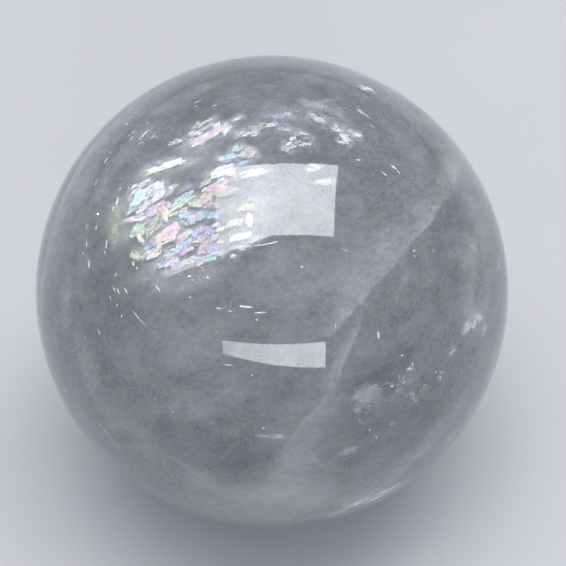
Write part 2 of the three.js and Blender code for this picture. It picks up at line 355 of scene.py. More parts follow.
# Sheets of mist that face the light, so that they gleam like brushed silver, with the tiny cracks in them
GLEAMS = table(
    Patch,
    (-15.5, 9.8, 9.5, 7.5, 15, 6, 0.12, 12, 0.0), (-9.0, 9.0, 8.0, 6.0, 20, 6, 0.12, 10, 0.0),
    (-12.0, 4.4, 12.0, 3.4, 18, 6, 0.15, 10, 0.0), (-11.5, 1.8, 9.0, 2.2, 20, 6, 0.10, 10, 0.0),
    (-21.4, 9.4, 5.5, 2.6, 85, 4, 0.20, 14, 1.0), (-14.0, 16.8, 6.5, 2.0, 16, 5, 0.16, 14, 0.0),
    (-9.0, 21.2, 6.0, 2.8, 25, 5, 0.30, 14, 0.0), (-2.8, 22.0, 5.0, 2.2, 12, 5, 0.10, 14, 0.6),
    (1.6, 24.0, 5.0, 2.4, -4, 5, 0.12, 14, -1.0), (6.6, 25.4, 5.5, 1.4, -20, 5, 0.12, 16, 0.0),
    (10.2, 22.0, 5.0, 1.8, -45, 5, 0.10, 14, 0.0), (-3.4, 6.6, 5.0, 1.2, 22, 5, 0.20, 14, 0.0),
    (-19.0, 20.4, 6.0, 2.4, 50, 4, 0.08, 12, 0.0), (24.6, 16.0, 6.5, 3.4, 64, 5, 0.08, 8, 0.4),
    (27.4, 2.5, 8.0, 2.8, 78, 4, 0.10, 8, 0.0), (28.0, -4.2, 4.4, 3.0, 70, 3, 0.14, 12, -0.6),
    (17.0, -25.6, 5.0, 0.9, 32, 2, 0.25, 6, 0.0), (14.6, -28.0, 4.4, 1.3, 28, 1, 0.60, 20, 0.0),
    (11.6, -29.3, 4.0, 1.2, 22, 1, 0.60, 20, 0.0), (8.6, -30.4, 4.6, 0.7, 16, 1, 0.30, 6, 0.0),
    (12.8, -14.4, 2.8, 1.9, 20, 3, 0.44, 60, 0.0), (11.9, -15.6, 1.8, 1.2, 70, 3, 0.40, 60, 0.0),
    (18.1, -12.6, 2.4, 1.4, 50, 3, 0.24, 60, -0.8), (19.6, -14.8, 2.6, 0.8, -60, 3, 0.24, 60, 0.0),
    (28.4, -4.4, 2.4, 2.0, 60, 3, 0.24, 60, -0.5), (10.6, -21.6, 2.0, 0.6, 10, 3, 0.20, 40, 0.6),
    (0.0, -19.9, 4.6, 0.7, -1, 4, 0.20, 8, 0.0), (10.4, -22.0, 2.6, 0.8, 15, 4, 0.20, 12, 0.5),
    (-13.0, -23.8, 4.0, 1.2, -38, 4, 0.12, 10, -1.0),
)

# Clumps of coarser cracks, with the number of cracks in each
Clump = namedtuple("Clump", "right up length width tilt depth count")
CLUMPS = table(
    Clump,
    (12.6, -14.2, 2.6, 2.0, 20, 3, 320), (13.0, -15.8, 1.4, 1.6, 80, 3, 120),
    (14.0, -13.4, 2.2, 0.9, 0, 3, 130), (18.1, -12.4, 1.7, 1.4, 40, 3, 220),
    (19.0, -10.7, 1.1, 0.6, 10, 3, 90), (19.4, -14.6, 2.4, 0.7, -60, 3, 160),
    (21.2, -13.4, 1.8, 1.4, 0, 3, 100), (23.1, -11.4, 1.8, 0.5, 60, 3, 50),
    (16.2, -12.7, 1.2, 0.5, -40, 4, 40), (14.6, -15.6, 3.0, 1.2, 0, 5, 60),
    (5.4, -23.6, 2.6, 0.5, 10, 5, 40), (28.6, -4.6, 1.4, 1.6, 60, 2, 60), (-6.6, 22.4, 1.6, 1.2, 50, 5, 60),
    (-12.9, 20.4, 1.8, 0.6, 15, 5, 40), (-9.0, 2.6, 5.0, 1.4, 20, 4, 70),
)

# Faint patches in the colours of a thin air film: a yellow-green fuzz, a violet one and orange sparks
Sheen = namedtuple("Sheen", "right up length width tilt depth count film")
SHEENS = table(
    Sheen,
    (-21.6, 10.6, 1.8, 3.0, 10, 3, 60, 0.93), (-13.2, -23.9, 4.4, 1.4, -38, 3, 70, 0.57),
    (-9.3, -25.4, 1.1, 0.5, -38, 2, 40, 0.32), (27.3, -4.6, 0.9, 1.1, 40, 2, 60, 0.30),
    (17.6, -14.4, 2.4, 2.0, 30, 4, 30, 0.55), (1.4, 24.4, 4.0, 1.8, 0, 4, 60, 0.53),
    (-3.0, 22.6, 2.6, 1.4, 20, 4, 40, 0.93), (-15.0, 9.5, 9.0, 6.0, 15, 5, 160, 0.10),
    (-15.8, 8.0, 7.0, 5.0, 15, 5, 60, 0.45), (-13.0, 4.5, 8.0, 2.6, 15, 5, 60, 0.70),
)

# Colours of a thin air film in a crack, from the thinnest to the thickest, paled by the frost around it
FILM_COLOURS = (
    (0.00, "#d3d7dd"),
    (0.10, "#fdfdff"),
    (0.22, "#fdf6d4"),
    (0.31, "#fbd2a9"),
    (0.42, "#f7b9da"),
    (0.52, "#d8c3f5"),
    (0.62, "#bad2f9"),
    (0.72, "#aeeef3"),
    (0.79, "#e4f9f4"),
    (0.86, "#c9f4d4"),
    (0.93, "#eef4b8"),
    (1.00, "#f8dde7"),
)
WHITE_FILM = 0.1

# A chip is a slanted lozenge, like the cleavage faces of calcite. Its outline has this many points a side,
# and rings of the same form lead in to its core. Splinters lie round its rim, and fine flakes on each square
# millimetre of it.
CHIP_SIDE_POINTS = 3
CHIP_RINGS = (1.0, 0.8, 0.55, 0.28)
CHIP_SLANT = 0.7
SPLINTERS = 4
FLAKES_PER_AREA = 8

# A sheet of mist is a net of this many meshes each way, and reaches out to this share of its patch's size
SHEET_MESHES = 12
SHEET_REACH = 0.65
# The silvery sheets are this many times as dense as their table says, and this share of its cracks is made
SILVERY_DENSITY = 2.4
SPARK_SHARE = 0.5
# The mist behind a chip: how dense it is, how deep behind the chip it lies, and by how many degrees the chip
# is turned away when the mist would be gone
GLOW = 0.65
GLOW_DEPTH = 0.8 * MM
GLOW_TURN = 12

# The net of a veil: points along its edge and into its depth, and how far in it goes. Its far depth is at 1.
VEIL_ROWS = 60
VEIL_COLUMNS = 24
VEIL_END = 1.4

# The ball's rings: points round its girth, and rings up to the top
GIRTH_POINTS = 256
MERIDIAN_RINGS = 144
# The share of the ball's map that the flat's own disc takes
DISC_SHARE = 0.04


def linear(hex_colour):
    """An sRGB hex colour as three linear numbers."""
    parts = [int(hex_colour[i : i + 2], 16) / 255 for i in (1, 3, 5)]
    return tuple(c / 12.92 if c <= 0.04045 else ((c + 0.055) / 1.055) ** 2.4 for c in parts)


def colour_setting(name, description, hex_colour):
    return FloatVectorProperty(
        name=name, description=description, default=linear(hex_colour), subtype="COLOR", size=3, min=0, max=1
    )


def length_setting(name, description, millimetres):
    return FloatProperty(
        name=name, description=description, default=millimetres * MM, min=0, precision=5, unit="LENGTH"
    )


def share_setting(name, description, share):
    return FloatProperty(name=name, description=description, default=share, min=0, max=1, subtype="FACTOR")


def strength_setting(name, description, strength):
    return FloatProperty(name=name, description=description, default=strength, min=0)


def count_setting(name, description, count):
    return IntProperty(name=name, description=description, default=count, min=0)


class StoneSettings(bpy.types.PropertyGroup):
    """The clear stone of the ball"""

    clear_colour: colour_setting("Clear stone", "Colour of the stone where it is clearest", "#898e94")
    milky_colour: colour_setting("Milky stone", "Colour of the stone where it is milkiest", "#c8ccd1")
    warm_tint: colour_setting("Warm tint", "Faint green-yellow of some of the stone", "#b2b8a6")
    cool_tint: colour_setting("Cool tint", "Faint violet of some of the stone", "#b0aec2")
    depth_colour: colour_setting("Depth colour", "What the stone leaves of white light", "#c6cbd1")
    absorption: strength_setting("Absorption", "How strongly the stone darkens, for each metre", 56)
    clearest: share_setting("Clearest", "Light let through where the stone is clear", 0.6)
    milkiest: share_setting("Milkiest", "Light let through where the stone is milky", 0.56)
    cloud_size: length_setting("Cloud size", "Width of one cloud in the stone", 4)
    # The real fibres are finer than the render can show, and are drawn this wide so that they do
    fibre_size: length_setting("Fibre size", "Width of the fine fibres in the stone", 0.55)
    lamp_share: share_setting("Lamp light", "Share of the lamps' light that gets through one face", 0.92)


class HazeSettings(bpy.types.PropertyGroup):
    """The haze, mist and frost, made of tiny cracks and bubbles"""

    # The real cracks and bubbles are a few thousandths of a millimetre wide, and are drawn this wide to show
    crack_size: length_setting("Crack size", "Width of one tiny crack", 0.085)
    haze_count: count_setting("Haze cracks", "Tiny cracks in each third of the haze", 36000)
    lump_size: length_setting("Lump size", "Width of one lump of haze", 7)
    veil_count: count_setting("Veil cracks", "Tiny cracks in each veil, before its gaps are left out", 16000)
    wisp_count: count_setting("Wisps", "Soft sheets of mist strewn through the stone", 90)
    frost_share: share_setting("Frost share", "Share of the patches' tiny cracks that are made", 1.0)
    pale_colour: colour_setting("Pale cracks", "Colour of the palest cracks", "#f2f4f7")
    grey_colour: colour_setting("Grey cracks", "Colour of the dullest cracks", "#b4b9bf")


class CrackSettings(bpy.types.PropertyGroup):
    """The rainbow cracks, the bright slivers and the stain"""

    main_depth: length_setting("Main crack depth", "How deep the main crack lies under the polish", 4.5)
    upper_depth: length_setting("Upper crack depth", "How deep the upper crack lies under the polish", 4)
    sliver_depth: length_setting("Sliver depth", "How deep the bright slivers lie", 1.5)
    loose_slivers: count_setting("Loose slivers", "Slivers strewn through the stone", 900)
    glints: count_setting("Glints", "Tiny bright flakes strewn through the stone", 7000)
    sparks: count_setting("Sparks", "Flakes that face the light", 1800)
    stain_colour: colour_setting("Iron stain", "Colour of the iron stain", "#7c5233")


class StageSettings(bpy.types.PropertyGroup):
    """The floor and the lights"""

    floor_colour: colour_setting("Floor", "Colour of the floor", "#b0b1b4")
    top_light: strength_setting("Top light", "Radiance of the light overhead", 8.6)
    front_light: strength_setting("Front light", "Radiance of the strip in front", 7)
    room_light: strength_setting("Room light", "Brightness of the room all round", 0.4)


def add_node(tree, kind, inputs=None, **settings):
    """Adds a node with its settings, and sets or links its inputs. A link is written as (node, output)."""
    node = tree.nodes.new(f"ShaderNode{kind}")
    for name, value in settings.items():
        setattr(node, name, value)
    for name, value in (inputs or {}).items():
        socket = node.inputs[name]
        if isinstance(value, tuple) and isinstance(value[0], bpy.types.Node):
            tree.links.new(value[0].outputs[value[1]], socket)
        elif socket.type == "RGBA":
            socket.default_value = (*value, 1)
        else:
            socket.default_value = value
    return node


def set_ramp(node, stops):
    """Gives a colour ramp its stops: (place, linear colour)."""
    elements = node.color_ramp.elements
    while len(elements) > 1:
        elements.remove(elements[-1])
    elements[0].position = stops[0][0]
    elements[0].color = (*stops[0][1], 1)
    for place, colour in stops[1:]:
        elements.new(place).color = (*colour, 1)


def new_material(name):
    """A material with no nodes yet, its node tree, and the place on the piece as its first node."""
    material = bpy.data.materials.new(name)
    material.use_nodes = True
    tree = material.node_tree
    tree.nodes.clear()
    return material, tree, add_node(tree, "TexCoord")


def along_grain(tree, place, stretch):
    """The place, turned and squeezed so that a pattern is drawn out along the stone's grain."""
    turn = Vector((1, 0, 0)).rotation_difference(Vector(GRAIN)).to_euler()
    inputs = {"Vector": (place, "Object"), "Rotation": turn, "Scale": (stretch, 1, 1)}
    return add_node(tree, "Mapping", inputs, vector_type="TEXTURE")


def polished_calcite(stone):
    """Calcite, ground round and polished with fine oxide: glassy gloss over a cloudy, see-through body."""
    material, tree, place = new_material("polished_calcite")
    drawn = along_grain(tree, place, 1.35)
    clouds = add_node(tree, "TexNoise", {
        "Vector": (drawn, "Vector"), "Scale": 1 / stone.cloud_size, "Detail": 8.0, "Roughness": 0.72,
        "Distortion": 0.15,
    })
    # Painted light: the stone is drawn milkier and paler towards its underside, and clearer towards its top,
    # which evens out the light from above that reaches the lower part less
    height = add_node(tree, "SeparateXYZ", {"Vector": (place, "Object")})
    painted_light_below = add_node(tree, "MapRange", {
        "Value": (height, "Z"), "From Min": 0.15 * HIGHEST.z, "From Max": 0.95 * HIGHEST.z,
        "To Min": 0.13, "To Max": -0.24,
    })
    fibres = add_node(tree, "TexNoise", {
        "Vector": (drawn, "Vector"), "Scale": 1 / stone.fibre_size, "Detail": 4.0, "Roughness": 0.75,
    })
    grain = add_node(tree, "MapRange", {
        "Value": (fibres, "Fac"), "From Min": 0.3, "From Max": 0.7, "To Min": -0.12, "To Max": 0.12,
    })
    # The milk placed on the ball's points holds painted light too: paler clouds where light gathers at the
    # bottom and the lower right edge, and a paler hidden side
    placed = add_node(tree, "Attribute", attribute_name="milk")
    milk = (clouds, "Fac")
    for more in ((painted_light_below, "Result"), (placed, "Fac"), (grain, "Result")):
        milk = (add_node(tree, "Math", {0: milk, 1: more}, operation="ADD"), "Value")
    body = add_node(tree, "ValToRGB", {"Fac": milk})
    set_ramp(body, [(0.15, tuple(stone.clear_colour)), (0.85, tuple(stone.milky_colour))])
    colour = (body, "Color")

    # Each tint has spots of its own, and shows most where the placed clouds lean to it
    leaning = add_node(tree, "Attribute", attribute_name="tint")
    for tint, offset, lean in ((stone.warm_tint, 0.0, 0.13), (stone.cool_tint, 0.05, -0.13)):
        moved = add_node(
            tree, "VectorMath", {0: (place, "Object"), 1: (offset, 0, offset)}, operation="ADD"
        )
        spots = add_node(tree, "TexNoise", {
            "Vector": (moved, "Vector"), "Scale": 1.6 / stone.cloud_size, "Detail": 6.0, "Roughness": 0.7,
        })
        tinted = add_node(
            tree, "Math", {0: (leaning, "Fac"), 1: lean, 2: (spots, "Fac")}, operation="MULTIPLY_ADD"
        )
        share = add_node(tree, "MapRange", {
            "Value": (tinted, "Value"), "From Min": 0.52, "From Max": 0.76, "To Min": 0.0, "To Max": 0.6,
        })
        colour = (
            add_node(tree, "Mix", {0: (share, "Result"), 6: colour, 7: tuple(tint)}, data_type="RGBA"), 2
        )

    # The stain is ragged, brown and not see-through
    stain = add_node(tree, "Attribute", attribute_name="stain")
    ragged = add_node(tree, "TexNoise", {
        "Vector": (place, "Object"), "Scale": 1 / (0.5 * MM), "Detail": 5.0, "Roughness": 0.75,
    })
    rusty = add_node(tree, "Math", {0: (stain, "Fac"), 1: (ragged, "Fac")}, operation="MULTIPLY")
    rust = add_node(tree, "MapRange", {
        "Value": (rusty, "Value"), "From Min": 0.24, "From Max": 0.5, "To Min": 0.0, "To Max": 0.75,
    })
    stained = add_node(
        tree, "Mix", {0: (rust, "Result"), 6: colour, 7: linear("#85674d")}, data_type="RGBA"
    )
    clearness = add_node(tree, "MapRange", {
        "Value": milk, "From Min": 0.15, "From Max": 0.85, "To Min": stone.clearest, "To Max": stone.milkiest,
    })
    clean = add_node(tree, "Math", {0: 1.0, 1: (rust, "Result")}, operation="SUBTRACT")
    seen_through = add_node(
        tree, "Math", {0: (clearness, "Result"), 1: (clean, "Value")}, operation="MULTIPLY"
    )
    # The flat underneath is ground and left matt
    roughness = add_node(tree, "MapRange", {
        "Value": (height, "Z"), "From Min": 0.01 * MM, "From Max": 0.05 * MM, "To Min": 0.5, "To Max": 0.03,
    })
    shader = add_node(tree, "BsdfPrincipled", {
        "Base Color": (stained, 2), "Transmission Weight": (seen_through, "Value"),
        "Roughness": (roughness, "Result"), "IOR": CALCITE_IOR,
    })
    # The lamps light the inside straight through the polish, so that the cracks there can flash
    ray = add_node(tree, "LightPath")
    let_through = add_node(tree, "BsdfTransparent", {"Color": (stone.lamp_share,) * 3})
    both = add_node(tree, "MixShader", {0: (ray, "Is Shadow Ray"), 1: (shader, 0), 2: (let_through, 0)})
    depth = add_node(
        tree, "VolumeAbsorption", {"Color": tuple(stone.depth_colour), "Density": stone.absorption}
    )
    add_node(tree, "OutputMaterial", {"Surface": (both, 0), "Volume": (depth, 0)})
    return material


def inclusion_finish(name, stops, pattern_size, **values):
    """A material whose colour runs through the stops by a noise, and whose shader has the given values."""
    material, tree, place = new_material(name)
    noise = add_node(tree, "TexNoise", {
        "Vector": (place, "Object"), "Scale": 1 / pattern_size, "Detail": 3.0,
    })
    colour = add_node(tree, "ValToRGB", {"Fac": (noise, "Fac")})
    set_ramp(colour, stops)
    shader = add_node(tree, "BsdfPrincipled", {"Base Color": (colour, "Color")})
    for value_name, value in values.items():
        shader.inputs[value_name.title()].default_value = value
    add_node(tree, "OutputMaterial", {"Surface": (shader, 0)})
    return material


def frosty_crack(haze):
    """Calcite broken along tiny cleavage cracks: air in them scatters the light, so they show matt white."""
    stops = [(0.35, tuple(haze.grey_colour)), (0.62, tuple(haze.pale_colour))]
    return inclusion_finish("frosty_crack", stops, 2.5 * MM, roughness=0.7)


def bright_cleavage():
    """Calcite split clean along a cleavage plane: total reflection in the crack makes it flash white."""
    stops = [(0.35, linear("#dfe6f2")), (0.65, linear("#ffffff"))]
    return inclusion_finish("bright_cleavage", stops, 1.2 * MM, metallic=0.9, roughness=0.2)


def iron_stain(cracks):
    """Iron oxide that seeped into a pit in the skin of the stone: earthy, matt and rust brown."""
    rust = np.array(cracks.stain_colour)
    stops = [(0.35, tuple(rust * 0.45)), (0.6, tuple(rust))]
    return inclusion_finish("iron_stain", stops, 0.6 * MM, roughness=0.9)


def matt_board(stage):
    """Card with a smooth matt coat: pale, with a barely seen mottle."""
    pale = np.array(stage.floor_colour)
    stops = [(0.3, tuple(pale * 0.97)), (0.7, tuple(pale * 1.02))]
    return inclusion_finish("matt_board", stops, 80 * MM, roughness=0.85)


def misty_veil(haze, name="misty_veil", curd_size=1.4 * MM, metallic=0.0, roughness=0.8):
    """Calcite with half-healed cracks: bubbles too fine to see one by one make soft white mist on their
    sheets. The curds of the mist are drawn somewhat coarser than the real ones, so that they show."""
    material, tree, place = new_material(name)
    drawn = along_grain(tree, place, 1.6)
    curds = add_node(tree, "TexNoise", {
        "Vector": (drawn, "Vector"), "Scale": 1 / curd_size, "Detail": 7.0, "Roughness": 0.72,
        "Distortion": 0.4,
    })
    gaps = add_node(tree, "MapRange", {
        "Value": (curds, "Fac"), "From Min": 0.34, "From Max": 0.7, "To Min": 0.2, "To Max": 1.15,
    })
    mist = add_node(tree, "Attribute", attribute_name="mist")
    cover = add_node(
        tree, "Math", {0: (mist, "Fac"), 1: (gaps, "Result")}, operation="MULTIPLY", use_clamp=True
    )
    tint = add_node(tree, "Attribute", attribute_name="tint")
    shade = add_node(tree, "MapRange", {
        "Value": (tint, "Fac"), "From Min": -1.0, "From Max": 1.0, "To Min": 0.0, "To Max": 1.0,
    })
    colour = add_node(tree, "ValToRGB", {"Fac": (shade, "Result")})
    pale = tuple(haze.pale_colour)
    set_ramp(colour, [(0.0, linear("#c9c5e6")), (0.42, pale), (0.58, pale), (1.0, linear("#d9deb8"))])
    shader = add_node(tree, "BsdfPrincipled", {
        "Base Color": (colour, "Color"), "Metallic": metallic, "Roughness": roughness,
        "Alpha": (cover, "Value"),
    })
    add_node(tree, "OutputMaterial", {"Surface": (shader, 0)})
    return material


def silvery_mist(haze):
    """Calcite with half-healed cracks that all lie one way: the mist on them gleams like brushed silver."""
    return misty_veil(haze, "silvery_mist", 0.8 * MM, metallic=0.9, roughness=0.38)


def rainbow_crack():
    """Calcite with a film of air in a cleavage crack: light bounced in the film shows as pastel bands."""
    material, tree, place = new_material("rainbow_crack")
    film = add_node(tree, "Attribute", attribute_name="film")
    ripple = add_node(tree, "TexNoise", {"Vector": (place, "Object"), "Scale": 1 / (0.5 * MM), "Detail": 4.0})
    shift = add_node(tree, "MapRange", {
        "Value": (ripple, "Fac"), "From Min": 0.25, "From Max": 0.75, "To Min": -0.09, "To Max": 0.09,
    })
    total = add_node(tree, "Math", {0: (film, "Fac"), 1: (shift, "Result")}, operation="ADD")
    colour = add_node(tree, "ValToRGB", {"Fac": (total, "Value")})
    set_ramp(colour, [(spot, linear(shade)) for spot, shade in FILM_COLOURS])
    frost = add_node(tree, "TexNoise", {
        "Vector": (place, "Object"), "Scale": 1 / (0.7 * MM), "Detail": 4.0, "Roughness": 0.7,
    })
    frosted = add_node(tree, "MapRange", {
        "Value": (frost, "Fac"), "From Min": 0.5, "From Max": 0.64, "To Min": 0.0, "To Max": 0.65,
    })
    paled = add_node(
        tree, "Mix", {0: (frosted, "Result"), 6: (colour, "Color"), 7: linear("#ffffff")}, data_type="RGBA"
    )
    shader = add_node(tree, "BsdfPrincipled", {"Base Color": (paled, 2), "Metallic": 0.9, "Roughness": 0.25})
    add_node(tree, "OutputMaterial", {"Surface": (shader, 0)})
    return material


def unit(vectors):
    """The vectors, each made one long."""
    return vectors / np.linalg.norm(vectors, axis=-1, keepdims=True)


def dot(first, second):
    """The dot products of matching rows, one in each row."""
    return np.sum(first * second, axis=-1, keepdims=True)


def lumps(points, size, seed):
    """Smooth random numbers from 0 to 1 that change over about one size."""
    side = 32
    lattice = np.random.default_rng(seed).random((side, side, side))
    at = points / size
    low = np.floor(at).astype(int)
    part = at - low
    part = part * part * (3 - 2 * part)
    total = np.zeros(len(points))
    for corner in itertools.product((0, 1), repeat=3):
        share = np.prod(np.where(corner, part, 1 - part), axis=1)
        total += share * lattice[tuple(((low + corner) % side).T)]
    return total


def seen_surface(right, up):
    """Where the lines of sight to things that show at (right, up) meet the ball, and their directions."""
    right, up = np.broadcast_arrays(*np.atleast_1d(right, up))
    slope = OUTLINE_SLOPE / RADIUS
    sight = unit(CENTRE_SLOPE - OUT + slope * (right[:, None] * RIGHT + up[:, None] * UP))
    nearest = sight @ (CENTRE - EYE)
    half_chord = np.sqrt(np.maximum(RADIUS**2 - np.sum((CENTRE - EYE) ** 2) + nearest**2, 0))
    return EYE + (nearest - half_chord)[:, None] * sight, sight


def bend_inward(directions, surface):
    """The directions that lines have inside the stone, once they have met the ball at these places."""
    normal = (surface - CENTRE) / RADIUS
    facing = -dot(directions, normal)
    slowed = facing / CALCITE_IOR - np.sqrt(1 - (1 - facing**2) / CALCITE_IOR**2)
    return directions / CALCITE_IOR + slowed * normal


def beneath(right, up, depth):
    """Where things lie that show at (right, up), this deep along the bent lines of sight, and those lines'
    directions inside the stone."""
    surface, sight = seen_surface(right, up)
    inward = bend_inward(sight, surface)
    return surface + np.reshape(depth, (-1, 1)) * inward, inward


def panel_corners(light):
    """The corners of a light's panel: the lines of sight to its gleam on the ball, mirrored by the ball, are
    followed to the panel's plane."""
    right, up = np.array(light.gleam).T * MM
    surface, sight = seen_surface(right, up)
    normal = (surface - CENTRE) / RADIUS
    mirrored = sight - 2 * dot(sight, normal) * normal
    way = (light.reach - (surface - CENTRE) @ light.axis) / (mirrored @ light.axis)
    return surface + way[:, None] * mirrored


def flash_normals(places, inward, light=TOP_LIGHT):
    """Normals with which cracks at these places send a light to the camera. The light bends on its way into
    the stone, so the direction in which it comes is found in three rounds."""
    middle = panel_corners(light).mean(axis=0)
    towards = unit(middle - places)
    from_centre = places - CENTRE
    for _ in range(3):
        along = dot(towards, from_centre)
        way_out = -along + np.sqrt(along**2 + RADIUS**2 - dot(from_centre, from_centre))
        surface = places + way_out * towards
        towards = -bend_inward(unit(surface - middle), surface)
    return unit(towards - inward)


def swung(first, second, turn):
    """Two coordinates, after a turn that takes the first one's axis to the second one's."""
    return first * np.cos(turn) - second * np.sin(turn), first * np.sin(turn) + second * np.cos(turn)


def around(vectors, degrees):
    """Places or directions, turned round the ball's upright axis."""
    x, y, height = vectors.T
    return np.stack((*swung(x, y, math.radians(degrees)), height), axis=1)


def tipped(vectors, degrees):
    """Directions, or places seen from the ball's centre, tipped forward round the left-right axis."""
    x, y, height = vectors.T
    return np.stack((x, *swung(y, height, math.radians(degrees))), axis=1)


def on_all_sides(*arrays):
    """The rows of the shown side, and then the same again on each of the other sides, but only where the
    camera doesn't look. The first array holds places. Other arrays with three columns hold directions."""
    sides = [arrays]
    for degrees in OTHER_SIDES:
        places = CENTRE + around(tipped(arrays[0] - CENTRE, PLACE_TIP), degrees)
        rows = [
            around(tipped(row, FACE_TIP), degrees) if row.shape[1:] == (3,) else row for row in arrays[1:]
        ]
        kept = ((places - CENTRE) @ OUT < -BEHIND * RADIUS) & (places[:, 2] > ABOVE_FLAT)
        sides.append([row[kept] for row in (places, *rows)])
    return [np.concatenate(parts) for parts in zip(*sides)]


def in_plane(right, up, through, normal):
    """The places in one flat crack of things that show at (right, up), and the lines of sight to them."""
    surface, inward = beneath(right, up, 0.0)
    depth = dot(through - surface, normal) / dot(inward, normal)
    deepest = -2 * dot(surface - CENTRE, inward)
    depth = np.clip(depth, CLEARANCE, deepest - CLEARANCE)
    return surface + depth * inward, inward


def shown_axes(normals, inward, tilts):
    """The two axes, across these normals, of flat things that show with these tilts and at full size."""
    axes = []
    for turn in (tilts, tilts + math.pi / 2):
        shown = np.cos(turn)[:, None] * RIGHT + np.sin(turn)[:, None] * UP
        axes.append(shown - dot(shown, normals) / dot(inward, normals) * inward)
    return axes


def axes_near(directions, normals):
    """The long and the short axis of flat things with these normals, the long one near these directions."""
    long_axis = unit(directions - dot(directions, normals) * normals)
    return long_axis, np.cross(normals, long_axis)


def random_axes(normals, rng):
    """Two axes across each normal, turned at random."""
    first = unit(np.cross(normals, unit(rng.normal(size=normals.shape))))
    return first, np.cross(normals, first)


def leaning_up(count, spread, rng):
    """Normals that lean to the zenith, so that most of these tiny cracks catch the light from above."""
    return unit(ZENITH + spread * rng.normal(size=(count, 3)))


def turned(normals, degrees, rng):
    """The normals, each turned by its angle in a direction taken at random."""
    side, _ = random_axes(normals, rng)
    angles = np.radians(degrees)[:, None]
    return np.cos(angles) * normals + np.sin(angles) * side


def moved_along(places, axes, spread):
    """The places, moved by the two columns of the spread along their two axes."""
    return places + spread[:, :1] * axes[0] + spread[:, 1:] * axes[1]


def thinned(places, ragged, gain, cut, least, rng):
    """Some of the places, taken at random, and fewest where their number for raggedness is low."""
    return places[rng.random(len(places)) < np.clip(ragged * gain - cut, least, 1)]


def strewn(count, deepest, rng):
    """Places all through the stone, in the shell from the skin down to a share of the radius."""
    shares = rng.uniform(deepest**3, STREWN_OUTERMOST**3, (count, 1)) ** (1 / 3)
    places = CENTRE + unit(rng.normal(size=(count, 3))) * RADIUS * shares
    return places[places[:, 2] > CLEARANCE]


def oblong(count, longest, shares, rng):
    """Lengths, drawn evenly between two numbers of millimetres, and widths that are shares of them."""
    lengths = rng.uniform(*longest, count) * MM
    return np.stack((lengths, lengths * rng.uniform(*shares, count)), axis=1)


def make_piece(name, points, faces, material):
    """Makes one mesh piece from arrays, rides it on the stone and gives it its material."""
    mesh = bpy.data.meshes.new(name)
    mesh.from_pydata(points, [], faces)
    mesh.materials.append(material)
    piece = bpy.data.objects.new(name, mesh)
    bpy.context.scene.collection.objects.link(piece)
    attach(piece, BODY)
    return piece


def give_numbers(piece, name, numbers):
    """Stores one number for each vertex, which the piece's material reads."""
    layer = piece.data.attributes.new(name, "FLOAT", "POINT")
    layer.data.foreach_set("value", np.asarray(numbers, np.float32).ravel())


def map_loops(piece, spots):
    """Gives the piece its map for baking, from one spot for each corner of its faces."""
    layer = piece.data.uv_layers.new(name="OFBake")
    layer.uv.foreach_set("vector", np.asarray(spots, np.float32).ravel())


def map_parts(piece, cells, local):
    """Maps each loose part into a square cell of its own. cells says which cell each vertex lies in, and
    local where in it, from 0 to 1."""
    grid = math.ceil(math.sqrt(cells.max() + 1))
    spots = (np.stack((cells % grid, cells // grid), axis=1) + 0.1 + 0.8 * local) / grid
    vertices = np.zeros(len(piece.data.loops), np.int32)
    piece.data.loops.foreach_get("vertex_index", vertices)
    map_loops(piece, spots[vertices])


def cut_flakes(name, centres, sizes, material, seed, normals, film=None):
    """One mesh of tiny three-cornered flakes. In a triangle with equal sides the corners lie 0.577 of a side
    from the middle, and here they lie about there."""
    rng = np.random.default_rng(seed)
    count = len(centres)
    first, second = random_axes(normals, rng)
    turn = rng.random(count) * math.tau
    corners = []
    for corner in range(3):
        angle = turn + corner * math.tau / 3 + rng.normal(scale=0.3, size=count)
        reach = sizes * 0.577 * rng.uniform(0.7, 1.3, count)
        corners.append(
            centres + (reach * np.cos(angle))[:, None] * first + (reach * np.sin(angle))[:, None] * second
        )
    points = np.stack(corners, axis=1).reshape(-1, 3)
    piece = make_piece(name, points, np.arange(count * 3).reshape(-1, 3), material)
    local = np.tile(((0.0, 0.0), (1.0, 0.0), (0.0, 1.0)), (count, 1))
    map_parts(piece, np.repeat(np.arange(count), 3), local)
    if film is not None:
        give_numbers(piece, "film", np.repeat(film, 3))


